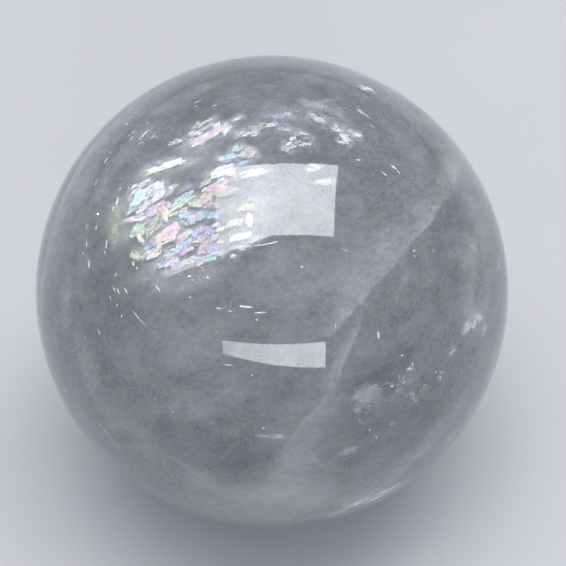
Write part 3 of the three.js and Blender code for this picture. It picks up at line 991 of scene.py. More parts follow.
def cut_chips(name, centres, axes, sizes, films, material, seed):
    """One mesh of flat, ragged lozenges, whose film changes from the rim to the core or from side to side."""
    rng = np.random.default_rng(seed)
    count = len(centres)
    corners = np.array(((-0.5, -0.5), (0.5, -0.5), (0.5, 0.5), (-0.5, 0.5)))
    part_way = np.arange(CHIP_SIDE_POINTS)[:, None] / CHIP_SIDE_POINTS
    rim = np.concatenate([a + (b - a) * part_way for a, b in zip(corners, np.roll(corners, -1, axis=0))])
    side = len(rim)
    ragged = rim + rng.normal(scale=0.05, size=(count, side, 2))
    ragged[:, ::CHIP_SIDE_POINTS] *= rng.uniform(0.7, 1.1, (count, 4, 1))
    core = rng.uniform(-0.15, 0.15, (count, 1, 2))
    spots = np.concatenate([core + (ragged - core) * share for share in CHIP_RINGS] + [core], axis=1)
    each = len(CHIP_RINGS) * side + 1
    inwardness = np.append(np.repeat(1 - np.array(CHIP_RINGS), side), 1.0)
    long_axis, short_axis = (axis[:, None] for axis in axes)
    across = spots[:, :, 1:] * sizes[:, None, 1:]
    slanted = spots[:, :, :1] * sizes[:, None, :1] + CHIP_SLANT * across
    lift = 0.003 * sizes[:, None, 1:] * rng.normal(size=(count, each, 1))
    out_of_plane = unit(np.cross(long_axis, short_axis))
    points = centres[:, None] + slanted * long_axis + across * short_axis + lift * out_of_plane
    pattern = []
    for step in range(side):
        following = (step + 1) % side
        for ring in range(len(CHIP_RINGS) - 1):
            outer, inner = ring * side, (ring + 1) * side
            pattern.append((outer + step, outer + following, inner + following, inner + step))
        innermost = (len(CHIP_RINGS) - 1) * side
        pattern.append((innermost + step, innermost + following, each - 1))
    starts = range(0, count * each, each)
    faces = [tuple(start + spot for spot in face) for start in starts for face in pattern]
    piece = make_piece(name, points.reshape(-1, 3), faces, material)
    map_parts(piece, np.repeat(np.arange(count), each), np.clip(spots + 0.5, 0, 1).reshape(-1, 2))
    sideways = rng.normal(scale=0.07, size=(count, 1)) * spots[:, :, 0]
    blend = rng.random((count, 1))
    change = blend * (spots[:, :, 1] + 0.5) + (1 - blend) * inwardness
    give_numbers(piece, "film", films[:, :1] + (films[:, 1:] - films[:, :1]) * change + sideways)


def net_faces(rows, each):
    """The four-cornered faces of a net of rows of points, with the same number of points in each."""
    low = np.add.outer(np.arange(rows - 1) * each, np.arange(each - 1)).ravel()
    return np.stack((low, low + 1, low + each + 1, low + each), axis=1)


def laid_out(centres, axes, sizes, along, across):
    """The points of flat things, each of which has the same outline, drawn along and across its two axes."""
    long_axis, short_axis = (axis[:, None] for axis in axes)
    return (
        centres[:, None]
        + (sizes[:, :1] * along)[:, :, None] * long_axis
        + (sizes[:, 1:] * across)[:, :, None] * short_axis
    )


def cut_sheets(name, centres, axes, sizes, mists, tints, material, seed):
    """One mesh of gently bent oval sheets, whose mist thins out to nothing at their rims."""
    rng = np.random.default_rng(seed)
    count = len(centres)
    row = SHEET_MESHES + 1
    steps = np.linspace(-1, 1, row)
    along, across = (net.ravel() for net in np.meshgrid(steps, steps))
    bends = rng.normal(scale=0.12, size=(count, 3)) * sizes.mean(axis=1, keepdims=True)
    lift = bends[:, :1] * along**2 + bends[:, 1:2] * across**2 + bends[:, 2:] * np.sin(3 * along + across)
    points = laid_out(centres, axes, sizes, along, across)
    points = (points + lift[:, :, None] * unit(np.cross(*axes))[:, None]).reshape(-1, 3)
    outward = points - CENTRE
    reach = np.linalg.norm(outward, axis=1, keepdims=True)
    points = CENTRE + outward * np.minimum(1, OUTERMOST * RADIUS / reach)
    points[:, 2] = np.maximum(points[:, 2], 0.3 * MM)
    mist = mists[:, None] * np.clip(1 - along**2 - across**2, 0, 1) ** 1.2
    faces = net_faces(row, row)
    faces = faces[mist[0][faces].max(axis=1) > 0]
    faces = (faces[None] + (np.arange(count) * row**2)[:, None, None]).reshape(-1, 4)
    used, faces = np.unique(faces, return_inverse=True)
    piece = make_piece(name, points[used], faces.reshape(-1, 4), material)
    give_numbers(piece, "mist", mist.ravel()[used])
    give_numbers(piece, "tint", np.repeat(tints, row**2)[used])
    local = np.tile(np.stack((along, across), axis=1) / 2 + 0.5, (count, 1))
    map_parts(piece, np.repeat(np.arange(count), row**2)[used], local[used])


def cut_slivers(name, centres, axes, sizes, material):
    """One mesh of thin spindles: pointed at both ends and widest near the middle."""
    outline = np.array(((-0.5, 0.0), (-0.15, -0.5), (0.2, -0.42), (0.5, 0.0), (0.15, 0.5), (-0.2, 0.42)))
    places = laid_out(centres, axes, sizes, *outline.T)
    count, each = places.shape[:2]
    piece = make_piece(name, places.reshape(-1, 3), np.arange(count * each).reshape(-1, each), material)
    map_parts(piece, np.repeat(np.arange(count), each), np.tile(outline + 0.5, (count, 1)))


def shown_at(points):
    """Where places show, as right and up in millimetres."""
    sight = points - EYE
    slopes = np.stack((sight @ RIGHT, sight @ UP), axis=1) / (sight @ -OUT)[:, None]
    middle = (CENTRE_SLOPE @ RIGHT, CENTRE_SLOPE @ UP)
    return (slopes - middle) * RADIUS / OUTLINE_SLOPE / MM


def facing_camera(points):
    """How far places on the ball face the camera: 0 on the hidden side, and soon 1 inside the outline."""
    return np.clip(dot(unit(points - CENTRE), unit(EYE - points))[:, 0] / 0.08, 0, 1)


def cloud_cover(cloud, points):
    """How much of a cloud lies over each place on the side of the ball that faces the camera."""
    from_middle = shown_at(points) - (cloud.right, cloud.up)
    tilt = math.radians(cloud.tilt)
    along = from_middle @ (math.cos(tilt), math.sin(tilt)) / (cloud.length / 2)
    across = from_middle @ (-math.sin(tilt), math.cos(tilt)) / (cloud.width / 2)
    return facing_camera(points) * np.exp(-(along**2) - across**2)


def milk_and_painted_light_at(points):
    """How much milkier than the rest the ball is at its points, painted light included, and its tint there.
    The clouds lie on the shown side and again on each of the others, where every second one keeps its tint.
    The hidden side is drawn paler all over, as painted light for the lesser light there."""
    hidden = 1 - facing_camera(points)
    milk = sum(cloud.milk * cloud_cover(cloud, points) for cloud in CLOUDS_AND_PAINTED_LIGHT) + HIDDEN_SIDE_PAINTED_LIGHT * hidden
    tint = sum(cloud.tint * cloud_cover(cloud, points) for cloud in CLOUDS_AND_PAINTED_LIGHT)
    for degrees in OTHER_SIDES:
        from_there = CENTRE + tipped(around(points - CENTRE, -degrees), -PLACE_TIP)
        milk += hidden * sum(cloud.milk * cloud_cover(cloud, from_there) for cloud in CLOUDS_AND_PAINTED_LIGHT)
        tint += hidden * sum(cloud.tint * cloud_cover(cloud, from_there) for cloud in CLOUDS_AND_PAINTED_LIGHT[1::2])
    return milk, tint


def make_ball(stone):
    """The ball as a turned form: rings from the rim of the flat up to the top, and the flat's own disc."""
    lowest = math.atan2(-CENTRE[2], FLAT_RADIUS)
    angles = lowest + (math.pi / 2 - lowest) * np.arange(MERIDIAN_RINGS)[:, None] / MERIDIAN_RINGS
    turns = math.tau * np.arange(GIRTH_POINTS) / GIRTH_POINTS
    rings = np.stack(
        (
            RADIUS * np.cos(angles) * np.cos(turns),
            RADIUS * np.cos(angles) * np.sin(turns),
            CENTRE[2] + RADIUS * np.sin(angles) * np.ones(GIRTH_POINTS),
        ),
        axis=2,
    )
    points = np.concatenate(((np.zeros(3),), rings.reshape(-1, 3), (CENTRE + RADIUS * ZENITH,)))
    rim = [DISC_SHARE + (1 - DISC_SHARE) * ring / MERIDIAN_RINGS for ring in range(MERIDIAN_RINGS)]
    faces, spots = [], []
    for step in range(GIRTH_POINTS):
        following = (step + 1) % GIRTH_POINTS
        left, middle, right = (part / GIRTH_POINTS for part in (step, step + 0.5, step + 1))
        faces.append((0, 1 + following, 1 + step))
        spots += [(middle, 0), (right, DISC_SHARE), (left, DISC_SHARE)]
        for ring in range(MERIDIAN_RINGS - 1):
            low, high = 1 + ring * GIRTH_POINTS, 1 + (ring + 1) * GIRTH_POINTS
            faces.append((low + step, low + following, high + following, high + step))
            spots += [(left, rim[ring]), (right, rim[ring]), (right, rim[ring + 1]), (left, rim[ring + 1])]
        last = 1 + (MERIDIAN_RINGS - 1) * GIRTH_POINTS
        faces.append((last + step, last + following, len(points) - 1))
        spots += [(left, rim[-1]), (right, rim[-1]), (middle, 1)]
    ball = make_piece("polished_ball", points, faces, polished_calcite(stone))
    map_loops(ball, spots)
    # Milk for the ball's points, with painted light: paler clouds at the bottom edge and lower right, and a
    # paler hidden side
    milk, tint = milk_and_painted_light_at(points)
    give_numbers(ball, "milk", milk)
    give_numbers(ball, "tint", tint)
    give_numbers(ball, "stain", cloud_cover(STAIN, points))
    for face in ball.data.polygons:
        face.use_smooth = 0 not in face.vertices
    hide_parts(NODE)


def haze_density(places, lump_size):
    """How dense the haze is, from 0 to 1: thin bent sheets, broken into lumps and drawn out on the grain."""
    drawn = places - 0.6 * (places @ GRAIN)[:, None] * GRAIN
    sheets = np.exp(-(((lumps(drawn, lump_size, 5) - 0.5) / 0.07) ** 2))
    more_sheets = np.exp(-(((lumps(drawn, lump_size * 0.55, 6) - 0.5) / 0.07) ** 2))
    clouds = lumps(places, lump_size * 1.5, 7)
    return np.clip(0.06 + (0.6 * sheets + 0.4 * more_sheets) * np.clip(clouds * 2.4 - 0.7, 0, 1), 0, 1)


def make_haze(haze):
    """Haze in wisps all through the stone."""
    material = frosty_crack(haze)
    for part in range(3):
        rng = np.random.default_rng(20 + part)
        tries = strewn(haze.haze_count * 8, 0.2, rng)
        places = tries[rng.random(len(tries)) < haze_density(tries, haze.lump_size)][: haze.haze_count]
        count = len(places)
        sizes = haze.crack_size * rng.uniform(0.5, 1.5, count)
        cut_flakes(f"haze_{part + 1}", places, sizes, material, 30 + part, leaning_up(count, 0.4, rng))


def veil_places(veil, along, back):
    """Places in a veil. along runs from 0 to 1 along its edge, and back from 0 at the edge into the depth."""
    edge = np.array(veil.edge)
    knots = np.linspace(0, 1, len(edge))
    wave = 0.015 * np.sin(along * 23) + 0.015 * np.sin(along * 57 + 1)
    right = np.interp(along, knots, edge[:, 0]) + (back + wave) * veil.sweep[0]
    up = np.interp(along, knots, edge[:, 1]) + (back + wave) * veil.sweep[1]
    places, _ = beneath(right * MM, up * MM, (veil.near + (veil.far - veil.near) * back) * MM)
    if veil.turn:
        places = CENTRE + around(tipped(places - CENTRE, PLACE_TIP), veil.turn)
    return places


def make_veils(haze):
    """Milky veils: bent sheets of mist, thick on the edge that shows as a line, with tiny cracks in them."""
    mist = misty_veil(haze)
    frost = frosty_crack(haze)
    along = np.repeat(np.linspace(0, 1, VEIL_ROWS), VEIL_COLUMNS)
    back = np.tile(np.linspace(0, 1, VEIL_COLUMNS) ** 1.5 * VEIL_END, VEIL_ROWS)
    rng = np.random.default_rng(50)
    for veil in VEILS:
        places = veil_places(veil, along, back)
        piece = make_piece(veil.name, places, net_faces(VEIL_ROWS, VEIL_COLUMNS), mist)
        ends = np.clip(along / 0.25, 0, 1) * np.clip((1 - along) / 0.15, 0, 1)
        depths = 0.3 * np.exp(-back / 0.15) + np.exp(-back / veil.fade) * np.clip(VEIL_END - back, 0, 1)
        depths *= np.clip(back / 0.06, 0, 1)
        give_numbers(piece, "mist", veil.mist * ends * depths)
        give_numbers(piece, "tint", np.zeros(len(places)))
        map_parts(piece, np.zeros(len(places), int), np.stack((along, back / VEIL_END), axis=1))

        count = haze.veil_count
        edgewise = rng.random(count)
        places = veil_places(veil, edgewise, np.minimum(rng.exponential(veil.fade * 0.8, count), 1.3))
        places += rng.normal(scale=0.12 * MM, size=places.shape)
        ragged = lumps(places, 3.0 * MM, 7) * 0.6 + lumps(places, 1.2 * MM, 8) * 0.4
        places = thinned(places, ragged, 2.0, 0.35, 0.1, rng)
        sizes = haze.crack_size * rng.uniform(0.6, 1.4, len(places))
        cut_flakes(f"{veil.name}_frost", places, sizes, frost, 51, leaning_up(len(places), 0.35, rng))


def patch_places(patch, count, rng):
    """Places in a soft oval patch, and the lines of sight to them."""
    spread = rng.normal(size=(count, 2)) * (patch.length / 4, patch.width / 4)
    aside, above = swung(*spread.T, math.radians(patch.tilt))
    right, up = patch.right + aside, patch.up + above
    inside = np.hypot(right, up) < RADIUS / MM * OUTERMOST
    depth = np.maximum(patch.depth * rng.uniform(0.7, 1.4, count), 0.4)
    return beneath(right[inside] * MM, up[inside] * MM, depth[inside] * MM)


def sheet_frames(patches):
    """Where the sheets of patches lie, their normals, which send the top light to the camera, their axes and
    their sizes."""
    places, inward = beneath(patches.right * MM, patches.up * MM, patches.depth * MM)
    normals = flash_normals(places, inward)
    sizes = np.stack((patches.length, patches.width), axis=1) * SHEET_REACH * MM
    return places, normals, shown_axes(normals, inward, np.radians(patches.tilt)), sizes


def make_frost(haze):
    """The soft patches: a sheet of mist for each, with tiny cracks in it. Then clumps of coarser cracks."""
    frost = frosty_crack(haze)
    patches = columns(PATCHES)
    places, _, axes, sizes = sheet_frames(patches)
    places, *axes, sizes, mists, tints = on_all_sides(places, *axes, sizes, patches.mist, patches.tint)
    cut_sheets("frost_sheets", places, axes, sizes, mists, tints, misty_veil(haze), 55)

    rng = np.random.default_rng(53)
    counts = (haze.frost_share * patches.length * patches.width * patches.cracks).astype(int)
    places = np.concatenate([patch_places(patch, count, rng)[0] for patch, count in zip(PATCHES, counts)])
    ragged = lumps(places, 1.6 * MM, 9) * 0.5 + lumps(places, 0.7 * MM, 10) * 0.5
    places = thinned(places, ragged, 3.0, 0.9, 0.06, rng)
    (places,) = on_all_sides(places)
    sizes = haze.crack_size * rng.uniform(0.6, 1.8, len(places))
    cut_flakes("frost_patches", places, sizes, frost, 52, leaning_up(len(places), 0.35, rng))

    places = np.concatenate([patch_places(clump, clump.count, rng)[0] for clump in CLUMPS])
    places = thinned(places, lumps(places, 0.7 * MM, 11), 3.0, 0.8, 0.05, rng)
    (places,) = on_all_sides(places)
    sizes = haze.crack_size * rng.uniform(1.2, 4.0, len(places))
    cut_flakes("frost_clumps", places, sizes, frost, 54, leaning_up(len(places), 0.3, rng))


def make_gleams(haze):
    """The silvery sheets of mist that face the light, and the sparks in them."""
    patches = columns(GLEAMS)
    places, normals, axes, sizes = sheet_frames(patches)
    everywhere, *all_axes, all_sizes, mists, tints = on_all_sides(
        places, *axes, sizes, SILVERY_DENSITY * patches.mist, patches.tint
    )
    cut_sheets("silvery_sheets", everywhere, all_axes, all_sizes, mists, tints, silvery_mist(haze), 58)

    rng = np.random.default_rng(59)
    counts = (patches.length * patches.width * patches.cracks * SPARK_SHARE).astype(int)
    which = np.repeat(np.arange(len(counts)), counts)
    spread = np.clip(rng.normal(size=(len(which), 2)) * 0.5, -1.4, 1.4) * sizes[which]
    centres = moved_along(places[which], [axis[which] for axis in axes], spread)
    centres += rng.normal(scale=0.4 * MM, size=(len(which), 1)) * normals[which]
    facing = turned(normals[which], rng.uniform(0, 16, len(which)), rng)
    centres, facing = on_all_sides(centres, facing)
    sparks = rng.uniform(0.04, 0.13, len(centres)) * MM
    cut_flakes("silvery_sparks", centres, sparks, bright_cleavage(), 73, facing)


def make_wisps(haze):
    """Soft sheets of mist strewn through the stone."""
    rng = np.random.default_rng(56)
    places = strewn(haze.wisp_count, 0.25, rng)
    count = len(places)
    sizes = oblong(count, (3, 10), (0.3, 0.8), rng)
    normals = leaning_up(count, 0.55, rng)
    tilts = np.radians(rng.normal(25, 25, count))
    axes = axes_near(np.cos(tilts)[:, None] * RIGHT + np.sin(tilts)[:, None] * UP, normals)
    mists, tints = rng.uniform(0.1, 0.42, count), rng.uniform(-0.7, 0.7, count)
    cut_sheets("wisps", places, axes, sizes, mists, tints, misty_veil(haze), 57)


def splinters(chips, rng):
    """Small chips round the rims of the others, as rows of the same numbers."""
    around_rims = np.repeat(chips, SPLINTERS, axis=0)
    rows = Chip(*around_rims.T)
    count = len(around_rims)
    angle = rng.uniform(0, math.tau, count)
    aside, above = swung(
        0.55 * rows.length * np.cos(angle), 0.6 * rows.width * np.sin(angle), np.radians(rows.tilt)
    )
    lengths = np.minimum(rng.uniform(0.3, 1.0, count), 0.7 * rows.length)
    widths = lengths * rng.uniform(0.3, 0.6, count)
    tilts = rows.tilt + rng.normal(scale=12, size=count)
    rims = np.where(rng.random(count) < 0.6, WHITE_FILM, rows.rim)
    cores = rims + rng.normal(scale=0.06, size=count)
    turns = rows.turn + rng.uniform(0, 5, count)
    return np.stack((rows.right + aside, rows.up + above, lengths, widths, tilts, rims, cores, turns), axis=1)


def shown_crack(name, chips, depth, material, haze_material, seed):
    """A flat crack that flashes to the camera: chips, splinters and fine flakes, with a glow of mist."""
    rng = np.random.default_rng(seed)
    chips = np.array(chips)
    shards = np.concatenate((chips, splinters(chips, rng)))
    rows = Chip(*shards.T)
    right, up = rows.right * MM, rows.up * MM
    through, inward = beneath(right.mean(), up.mean(), depth)
    normal = flash_normals(through, inward)[0]
    places, inward = in_plane(right, up, through[0], normal)
    places += rng.uniform(-0.5, 0.5, (len(places), 1)) * MM * normal
    normals = turned(flash_normals(places, inward), rows.turn + rng.uniform(0, 3, len(shards)), rng)
    axes = shown_axes(normals, inward, np.radians(rows.tilt))
    sizes = shards[:, 2:4]
    all_places, *all_axes, all_sizes, films = on_all_sides(places, *axes, sizes * MM, shards[:, 5:7])
    cut_chips(name, all_places, all_axes, all_sizes, films, material, seed)

    big = slice(0, len(chips))
    glow = GLOW * np.clip(1 - rows.turn[big] / GLOW_TURN, 0.2, 1)
    behind = places[big] + GLOW_DEPTH * inward[big]
    behind, *big_axes, glow_sizes, glow = on_all_sides(
        behind, axes[0][big], axes[1][big], (sizes[big] * 0.8 + 0.7) * MM, glow
    )
    no_tints = np.zeros(len(glow))
    cut_sheets(f"{name}_glow", behind, big_axes, glow_sizes, glow, no_tints, haze_material, seed + 2)

    which = np.repeat(np.arange(len(chips)), (FLAKES_PER_AREA * chips[:, 2] * chips[:, 3]).astype(int) + 3)
    spread = rng.normal(size=(len(which), 2)) * sizes[which] * 0.5 * MM
    centres = moved_along(places[which], [axis[which] for axis in axes], spread)
    centres += rng.normal(scale=0.2 * MM, size=(len(which), 1)) * normals[which]
    film = rows.rim[which] + rng.normal(scale=0.05, size=len(which))
    facing = unit(normals[which] + rng.normal(scale=0.2, size=centres.shape))
    flake_sizes = rng.uniform(0.1, 0.26, len(which)) * MM
    cut_flakes(f"{name}_frost", centres, flake_sizes, material, seed + 1, facing, film)


def hidden_crack(name, middle, reach, count, material, seed):
    """A flat rainbow crack on a side that isn't shown: shards strewn round its middle, which is given in
    millimetres from the ball's centre. It flashes to someone who looks straight at it."""
    rng = np.random.default_rng(seed)
    middle = CENTRE + np.array((middle,)) * MM
    normal = flash_normals(middle, unit(CENTRE - middle))[0]
    first, second = random_axes(normal[None], rng)
    spread = rng.normal(size=(count, 2)) * reach * MM
    places = moved_along(middle, (first, second), spread)
    inside = np.linalg.norm(places - CENTRE, axis=1) < RADIUS * 0.96
    places, spread = places[inside], spread[inside]
    count = len(places)
    normals = unit(normal + rng.normal(scale=0.12, size=(count, 3)))
    turn = math.radians(25)
    lie = math.cos(turn) * first + math.sin(turn) * second + rng.normal(scale=0.15, size=(count, 3))
    sizes = oblong(count, (0.5, 1.6), (0.35, 0.6), rng)
    bands = 0.5 + 0.45 * np.sin(spread[:, 0] / (2.2 * MM)) + rng.normal(scale=0.05, size=count)
    films = np.stack((bands, bands + rng.uniform(0.05, 0.3, count)), axis=1)
    cut_chips(name, places, axes_near(lie, normals), sizes, films, material, seed)


def make_rainbows(cracks, haze):
    """The rainbow cracks of the shown side and of the others, and the faint sheens."""
    rainbow, mist = rainbow_crack(), silvery_mist(haze)
    shown_crack("main_crack", MAIN_CRACK, cracks.main_depth, rainbow, mist, 60)
    shown_crack("upper_crack", UPPER_CRACK, cracks.upper_depth, rainbow, mist, 90)
    shown_crack("edge_crack", EDGE_CRACK, cracks.sliver_depth, rainbow, mist, 96)
    hidden_crack("back_crack", (-9.0, 21.0, 2.0), 3.0, 180, rainbow, 64)
    hidden_crack("right_crack", (24.0, 8.0, 1.0), 2.6, 120, rainbow, 66)
    hidden_crack("left_crack", (-23.0, 11.0, 3.0), 2.8, 140, rainbow, 67)

    rng = np.random.default_rng(68)
    places, inward = zip(*(patch_places(sheen, sheen.count, rng) for sheen in SHEENS))
    film = np.concatenate([np.full(len(some), sheen.film) for some, sheen in zip(places, SHEENS)])
    film += rng.normal(scale=0.05, size=len(film))
    places, inward = np.concatenate(places), np.concatenate(inward)
    facing = turned(flash_normals(places, inward), rng.uniform(0, 14, len(places)), rng)
    cut_flakes("faint_sheens", places, rng.uniform(0.08, 0.22, len(places)) * MM, rainbow, 69, facing, film)


def strands(bundles):
    """The rows of bundles of slivers, each as often as it has strands."""
    rows = np.array(bundles)
    return np.repeat(rows, rows[:, 5].astype(int), axis=0)


def make_slivers(cracks):
    """Bright slivers: the bundles of the shown side, the crescent, and loose ones that lie round the ball
    like its skin. Then glints and sparks. All are drawn somewhat wider than real ones, so that they show."""
    bright = bright_cleavage()
    rng = np.random.default_rng(70)
    rows = strands(SLIVERS)
    count = len(rows)
    first = np.append(True, np.any(rows[1:, :2] != rows[:-1, :2], axis=1))
    spread = np.where(first[:, None], 0, rng.normal(size=(count, 2)) * (0.3, 0.5))
    tilt = np.radians(rows[:, 4])
    aside, above = swung(*spread.T, tilt)
    shrink = np.where(first, 1, rng.uniform(0.4, 0.9, count))[:, None]
    places, inward = beneath((rows[:, 0] + aside) * MM, (rows[:, 1] + above) * MM, cracks.sliver_depth)
    normals = turned(flash_normals(places, inward), rng.uniform(0, 3, count), rng)
    sizes = np.maximum(rows[:, 2:4] * shrink, (0.2, 0.09)) * (1, 1.5) * MM
    places, *axes, sizes = on_all_sides(places, *shown_axes(normals, inward, tilt), sizes)
    cut_slivers("bright_slivers", places, axes, sizes, bright)

    rows = strands(CRESCENT)
    count = len(rows)
    spread = rng.normal(size=(2, count)) * ((0.5,), (0.22,))
    tilt = np.radians(rows[:, 4] + rng.normal(scale=5, size=count))
    right, up = rows[:, 0] + spread[0], rows[:, 1] + 0.45 * spread[0] + spread[1]
    inside = np.hypot(right, up) < OUTERMOST * RADIUS / MM
    places, inward = beneath(right[inside] * MM, up[inside] * MM, rng.uniform(0.6, 1.6, inside.sum()) * MM)
    normals = turned(flash_normals(places, inward, FRONT_LIGHT), rng.uniform(0, 4, len(places)), rng)
    sizes = rows[inside, 2:4] * rng.uniform(0.4, 1.0, (len(places), 1)) * MM
    cut_slivers("crescent_slivers", places, shown_axes(normals, inward, tilt[inside]), sizes, bright)

    places = strewn(cracks.loose_slivers, 0.7, rng)
    outward = unit(places - CENTRE)
    normals = unit(outward + rng.normal(scale=0.35, size=outward.shape))
    lie = unit(np.cross(outward, OUT) + rng.normal(scale=0.12, size=outward.shape))
    count = len(places)
    sizes = np.stack((rng.uniform(0.4, 1.5, count), rng.uniform(0.04, 0.09, count)), axis=1) * MM
    cut_slivers("loose_slivers", places, axes_near(lie, normals), sizes, bright)

    places = strewn(cracks.glints, 0.6, rng)
    count = len(places)
    sizes = rng.uniform(0.08, 0.18, count) * MM
    cut_flakes("glints", places, sizes, bright, 72, unit(rng.normal(size=(count, 3))))

    right, up = rng.uniform(-RADIUS, RADIUS, (2, cracks.sparks))
    inside = np.hypot(right, up) < 0.93 * RADIUS
    places, inward = beneath(right[inside], up[inside], rng.uniform(1, 14, inside.sum()) * MM)
    bunched = lumps(places, 5 * MM, 12) > 0.45
    places, inward = places[bunched], inward[bunched]
    facing = turned(flash_normals(places, inward), rng.uniform(0, 16, len(places)), rng)
    places, facing = on_all_sides(places, facing)
    cut_flakes("sparks", places, rng.uniform(0.05, 0.14, len(places)) * MM, bright, 74, facing)


def make_stain(cracks):
    """The iron stain just under the polish at the top of the shown side."""
    rng = np.random.default_rng(80)
    count, spread, middle = 420, ((0.9,), (0.3,)), ((-7.3,), (31.0,))
    right, up = rng.normal(size=(2, count)) * spread + middle
    inside = np.hypot(right, up) < RADIUS / MM * STAIN_OUTERMOST
    places, _ = beneath(right[inside] * MM, up[inside] * MM, rng.uniform(0.1, 0.6, inside.sum()) * MM)
    sizes = rng.uniform(0.12, 0.35, len(places)) * MM
    cut_flakes("iron_stain", places, sizes, iron_stain(cracks), 81, unit(places - CENTRE))


def place_flat(name, corners, material):
    """Puts one flat, many-cornered face on the stage."""
    mesh = bpy.data.meshes.new(name)
    mesh.from_pydata([tuple(corner) for corner in corners], [], [range(len(corners))])
    mesh.materials.append(material)
    flat = bpy.data.objects.new(name, mesh)
    bpy.context.scene.collection.objects.link(flat)
    return flat


def light_panel(name, light, radiance, dimmest, far_share):
    """A flat panel that gives soft, slightly uneven light of the given radiance. It is dimmed towards its
    left edge, down to the dimmest share, and towards its far edge. The camera doesn't see it."""
    corners = panel_corners(light)
    material, tree, place = new_material(name)
    (left, near, _), (right, far, _) = corners.min(axis=0), corners.max(axis=0)
    parts = add_node(tree, "SeparateXYZ", {"Vector": (place, "Object")})
    dimming = add_node(tree, "MapRange", {
        "Value": (parts, "X"), "From Min": left, "From Max": left + DIMMED_SHARE * (right - left),
        "To Min": radiance * dimmest, "To Max": radiance,
    })
    folds = add_node(tree, "TexNoise", {
        "Vector": (place, "Object"), "Scale": 3.5 / (right - left), "Detail": 5.0, "Roughness": 0.6,
    })
    cloth = add_node(tree, "MapRange", {
        "Value": (folds, "Fac"), "From Min": 0.3, "From Max": 0.7, "To Min": 0.82, "To Max": 1.12,
    })
    fading = add_node(tree, "MapRange", {
        "Value": (parts, "Y"), "From Min": near, "From Max": far, "To Min": 1.0, "To Max": far_share,
    })
    strength = (dimming, "Result")
    for more in (cloth, fading):
        strength = (add_node(tree, "Math", {0: strength, 1: (more, "Result")}, operation="MULTIPLY"), "Value")
    glow = add_node(tree, "Emission", {"Color": linear("#fbfbff"), "Strength": strength})
    add_node(tree, "OutputMaterial", {"Surface": (glow, 0)})
    place_flat(name, corners, material).visible_camera = False


def make_stage(stage):
    """A pale floor, the camera, a big light overhead and a low strip of light in front."""
    half, gap = 2.0, 0.05 * MM
    floor = ((-half, -half, -gap), (half, -half, -gap), (half, half, -gap), (-half, half, -gap))
    place_flat("floor", floor, matt_board(stage))

    camera = bpy.data.cameras.new("camera")
    camera.lens = LENS
    camera.sensor_width = SENSOR
    camera.clip_start = 0.01
    holder = bpy.data.objects.new("camera", camera)
    holder.location = EYE
    holder.rotation_euler = Vector(-OUT).to_track_quat("-Z", "Y").to_euler()
    scene = bpy.context.scene
    scene.collection.objects.link(holder)
    scene.camera = holder

    light_panel("top_light", TOP_LIGHT, stage.top_light, 0.5, 0.85)
    light_panel("front_light", FRONT_LIGHT, stage.front_light, 0.7, 1.0)
    world = bpy.data.worlds.new("room")
    scene.world = world
    world.use_nodes = True
    background = world.node_tree.nodes["Background"]
    background.inputs["Color"].default_value = (*linear("#eef0f4"), 1)
    background.inputs["Strength"].default_value = stage.room_light
    scene.view_settings.view_transform = "Standard"
    scene.cycles.caustics_refractive = False
    scene.cycles.caustics_reflective = False


class CALCITE_OT_ball(bpy.types.Operator):
    """Makes the polished ball with its small flat"""

    bl_idname = "calcite.ball"
    bl_label = "Polished ball"
    bl_options = {"REGISTER", "UNDO"}

    def execute(self, context):
        make_ball(context.scene.calcite_stone)
        return {"FINISHED"}


class CALCITE_OT_haze(bpy.types.Operator):
    """Fills the stone with haze"""

    bl_idname = "calcite.haze"
    bl_label = "Haze"
    bl_options = {"REGISTER", "UNDO"}

    def execute(self, context):
        make_haze(context.scene.calcite_haze)
        return {"FINISHED"}


class CALCITE_OT_veils(bpy.types.Operator):
    """Makes the milky veils"""

    bl_idname = "calcite.veils"
    bl_label = "Milky veils"
    bl_options = {"REGISTER", "UNDO"}

    def execute(self, context):
        make_veils(context.scene.calcite_haze)
        return {"FINISHED"}


class CALCITE_OT_frost(bpy.types.Operator):
    """Makes the patches of frost"""

    bl_idname = "calcite.frost"
    bl_label = "Frost"
    bl_options = {"REGISTER", "UNDO"}

    def execute(self, context):
        make_frost(context.scene.calcite_haze)
        return {"FINISHED"}


class CALCITE_OT_gleams(bpy.types.Operator):
    """Makes the silvery sheets of mist and their sparks"""

    bl_idname = "calcite.gleams"
    bl_label = "Silvery mist"
    bl_options = {"REGISTER", "UNDO"}

    def execute(self, context):
        make_gleams(context.scene.calcite_haze)
        return {"FINISHED"}


class CALCITE_OT_wisps(bpy.types.Operator):
    """Strews wisps of mist through the stone"""

    bl_idname = "calcite.wisps"
    bl_label = "Wisps"
    bl_options = {"REGISTER", "UNDO"}

    def execute(self, context):
        make_wisps(context.scene.calcite_haze)
        return {"FINISHED"}


class CALCITE_OT_rainbows(bpy.types.Operator):
    """Makes the rainbow cracks and the faint sheens"""

    bl_idname = "calcite.rainbows"
    bl_label = "Rainbow cracks"
    bl_options = {"REGISTER", "UNDO"}

    def execute(self, context):
        make_rainbows(context.scene.calcite_cracks, context.scene.calcite_haze)
        return {"FINISHED"}


class CALCITE_OT_slivers(bpy.types.Operator):
    """Makes the bright slivers"""

    bl_idname = "calcite.slivers"
    bl_label = "Bright slivers"
    bl_options = {"REGISTER", "UNDO"}

    def execute(self, context):
        make_slivers(context.scene.calcite_cracks)
        return {"FINISHED"}


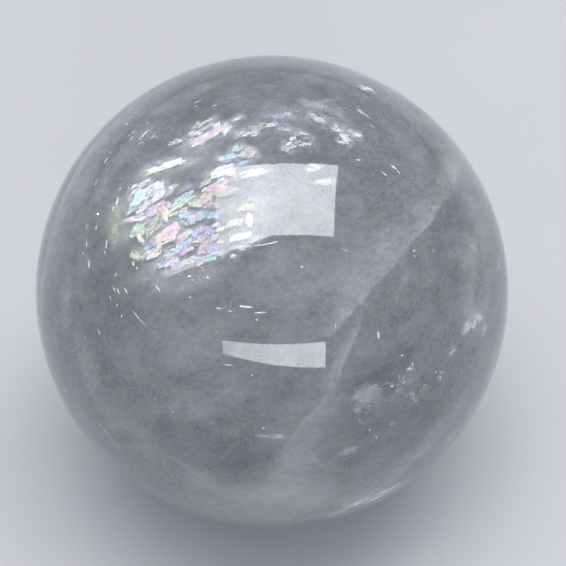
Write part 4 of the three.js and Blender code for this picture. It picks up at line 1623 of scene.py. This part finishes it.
class CALCITE_OT_stain(bpy.types.Operator):
    """Makes the iron stain"""

    bl_idname = "calcite.stain"
    bl_label = "Iron stain"
    bl_options = {"REGISTER", "UNDO"}

    def execute(self, context):
        make_stain(context.scene.calcite_cracks)
        return {"FINISHED"}


class CALCITE_OT_stage(bpy.types.Operator):
    """Sets the floor, the lights and the camera"""

    bl_idname = "calcite.stage"
    bl_label = "Stage"
    bl_options = {"REGISTER", "UNDO"}

    def execute(self, context):
        make_stage(context.scene.calcite_stage)
        return {"FINISHED"}


MAKERS = (
    CALCITE_OT_ball,
    CALCITE_OT_haze,
    CALCITE_OT_veils,
    CALCITE_OT_frost,
    CALCITE_OT_gleams,
    CALCITE_OT_wisps,
    CALCITE_OT_rainbows,
    CALCITE_OT_slivers,
    CALCITE_OT_stain,
    CALCITE_OT_stage,
)
SETTINGS = {
    "calcite_stone": StoneSettings,
    "calcite_haze": HazeSettings,
    "calcite_cracks": CrackSettings,
    "calcite_stage": StageSettings,
}


class CALCITE_PT_panel(bpy.types.Panel):
    """Lists the pieces of the stone and their settings"""

    bl_idname = "CALCITE_PT_panel"
    bl_label = "Calcite sphere"
    bl_space_type = "VIEW_3D"
    bl_region_type = "UI"
    bl_category = "Calcite"

    def draw(self, context):
        for name, group in SETTINGS.items():
            box = self.layout.box()
            for setting in group.__annotations__:
                box.prop(getattr(context.scene, name), setting)
        for maker in MAKERS:
            self.layout.operator(maker.bl_idname)


def register():
    for name, group in SETTINGS.items():
        bpy.utils.register_class(group)
        setattr(bpy.types.Scene, name, PointerProperty(type=group))
    for maker in (*MAKERS, CALCITE_PT_panel):
        bpy.utils.register_class(maker)


def unregister():
    for maker in reversed((*MAKERS, CALCITE_PT_panel)):
        bpy.utils.unregister_class(maker)
    for name, group in SETTINGS.items():
        delattr(bpy.types.Scene, name)
        bpy.utils.unregister_class(group)


def main():
    register()
    bpy.ops.calcite.ball()
    bpy.ops.calcite.haze()
    bpy.ops.calcite.veils()
    bpy.ops.calcite.frost()
    bpy.ops.calcite.gleams()
    bpy.ops.calcite.wisps()
    bpy.ops.calcite.rainbows()
    bpy.ops.calcite.slivers()
    bpy.ops.calcite.stain()
    bpy.ops.calcite.stage()


if __name__ == "__main__":
    main()
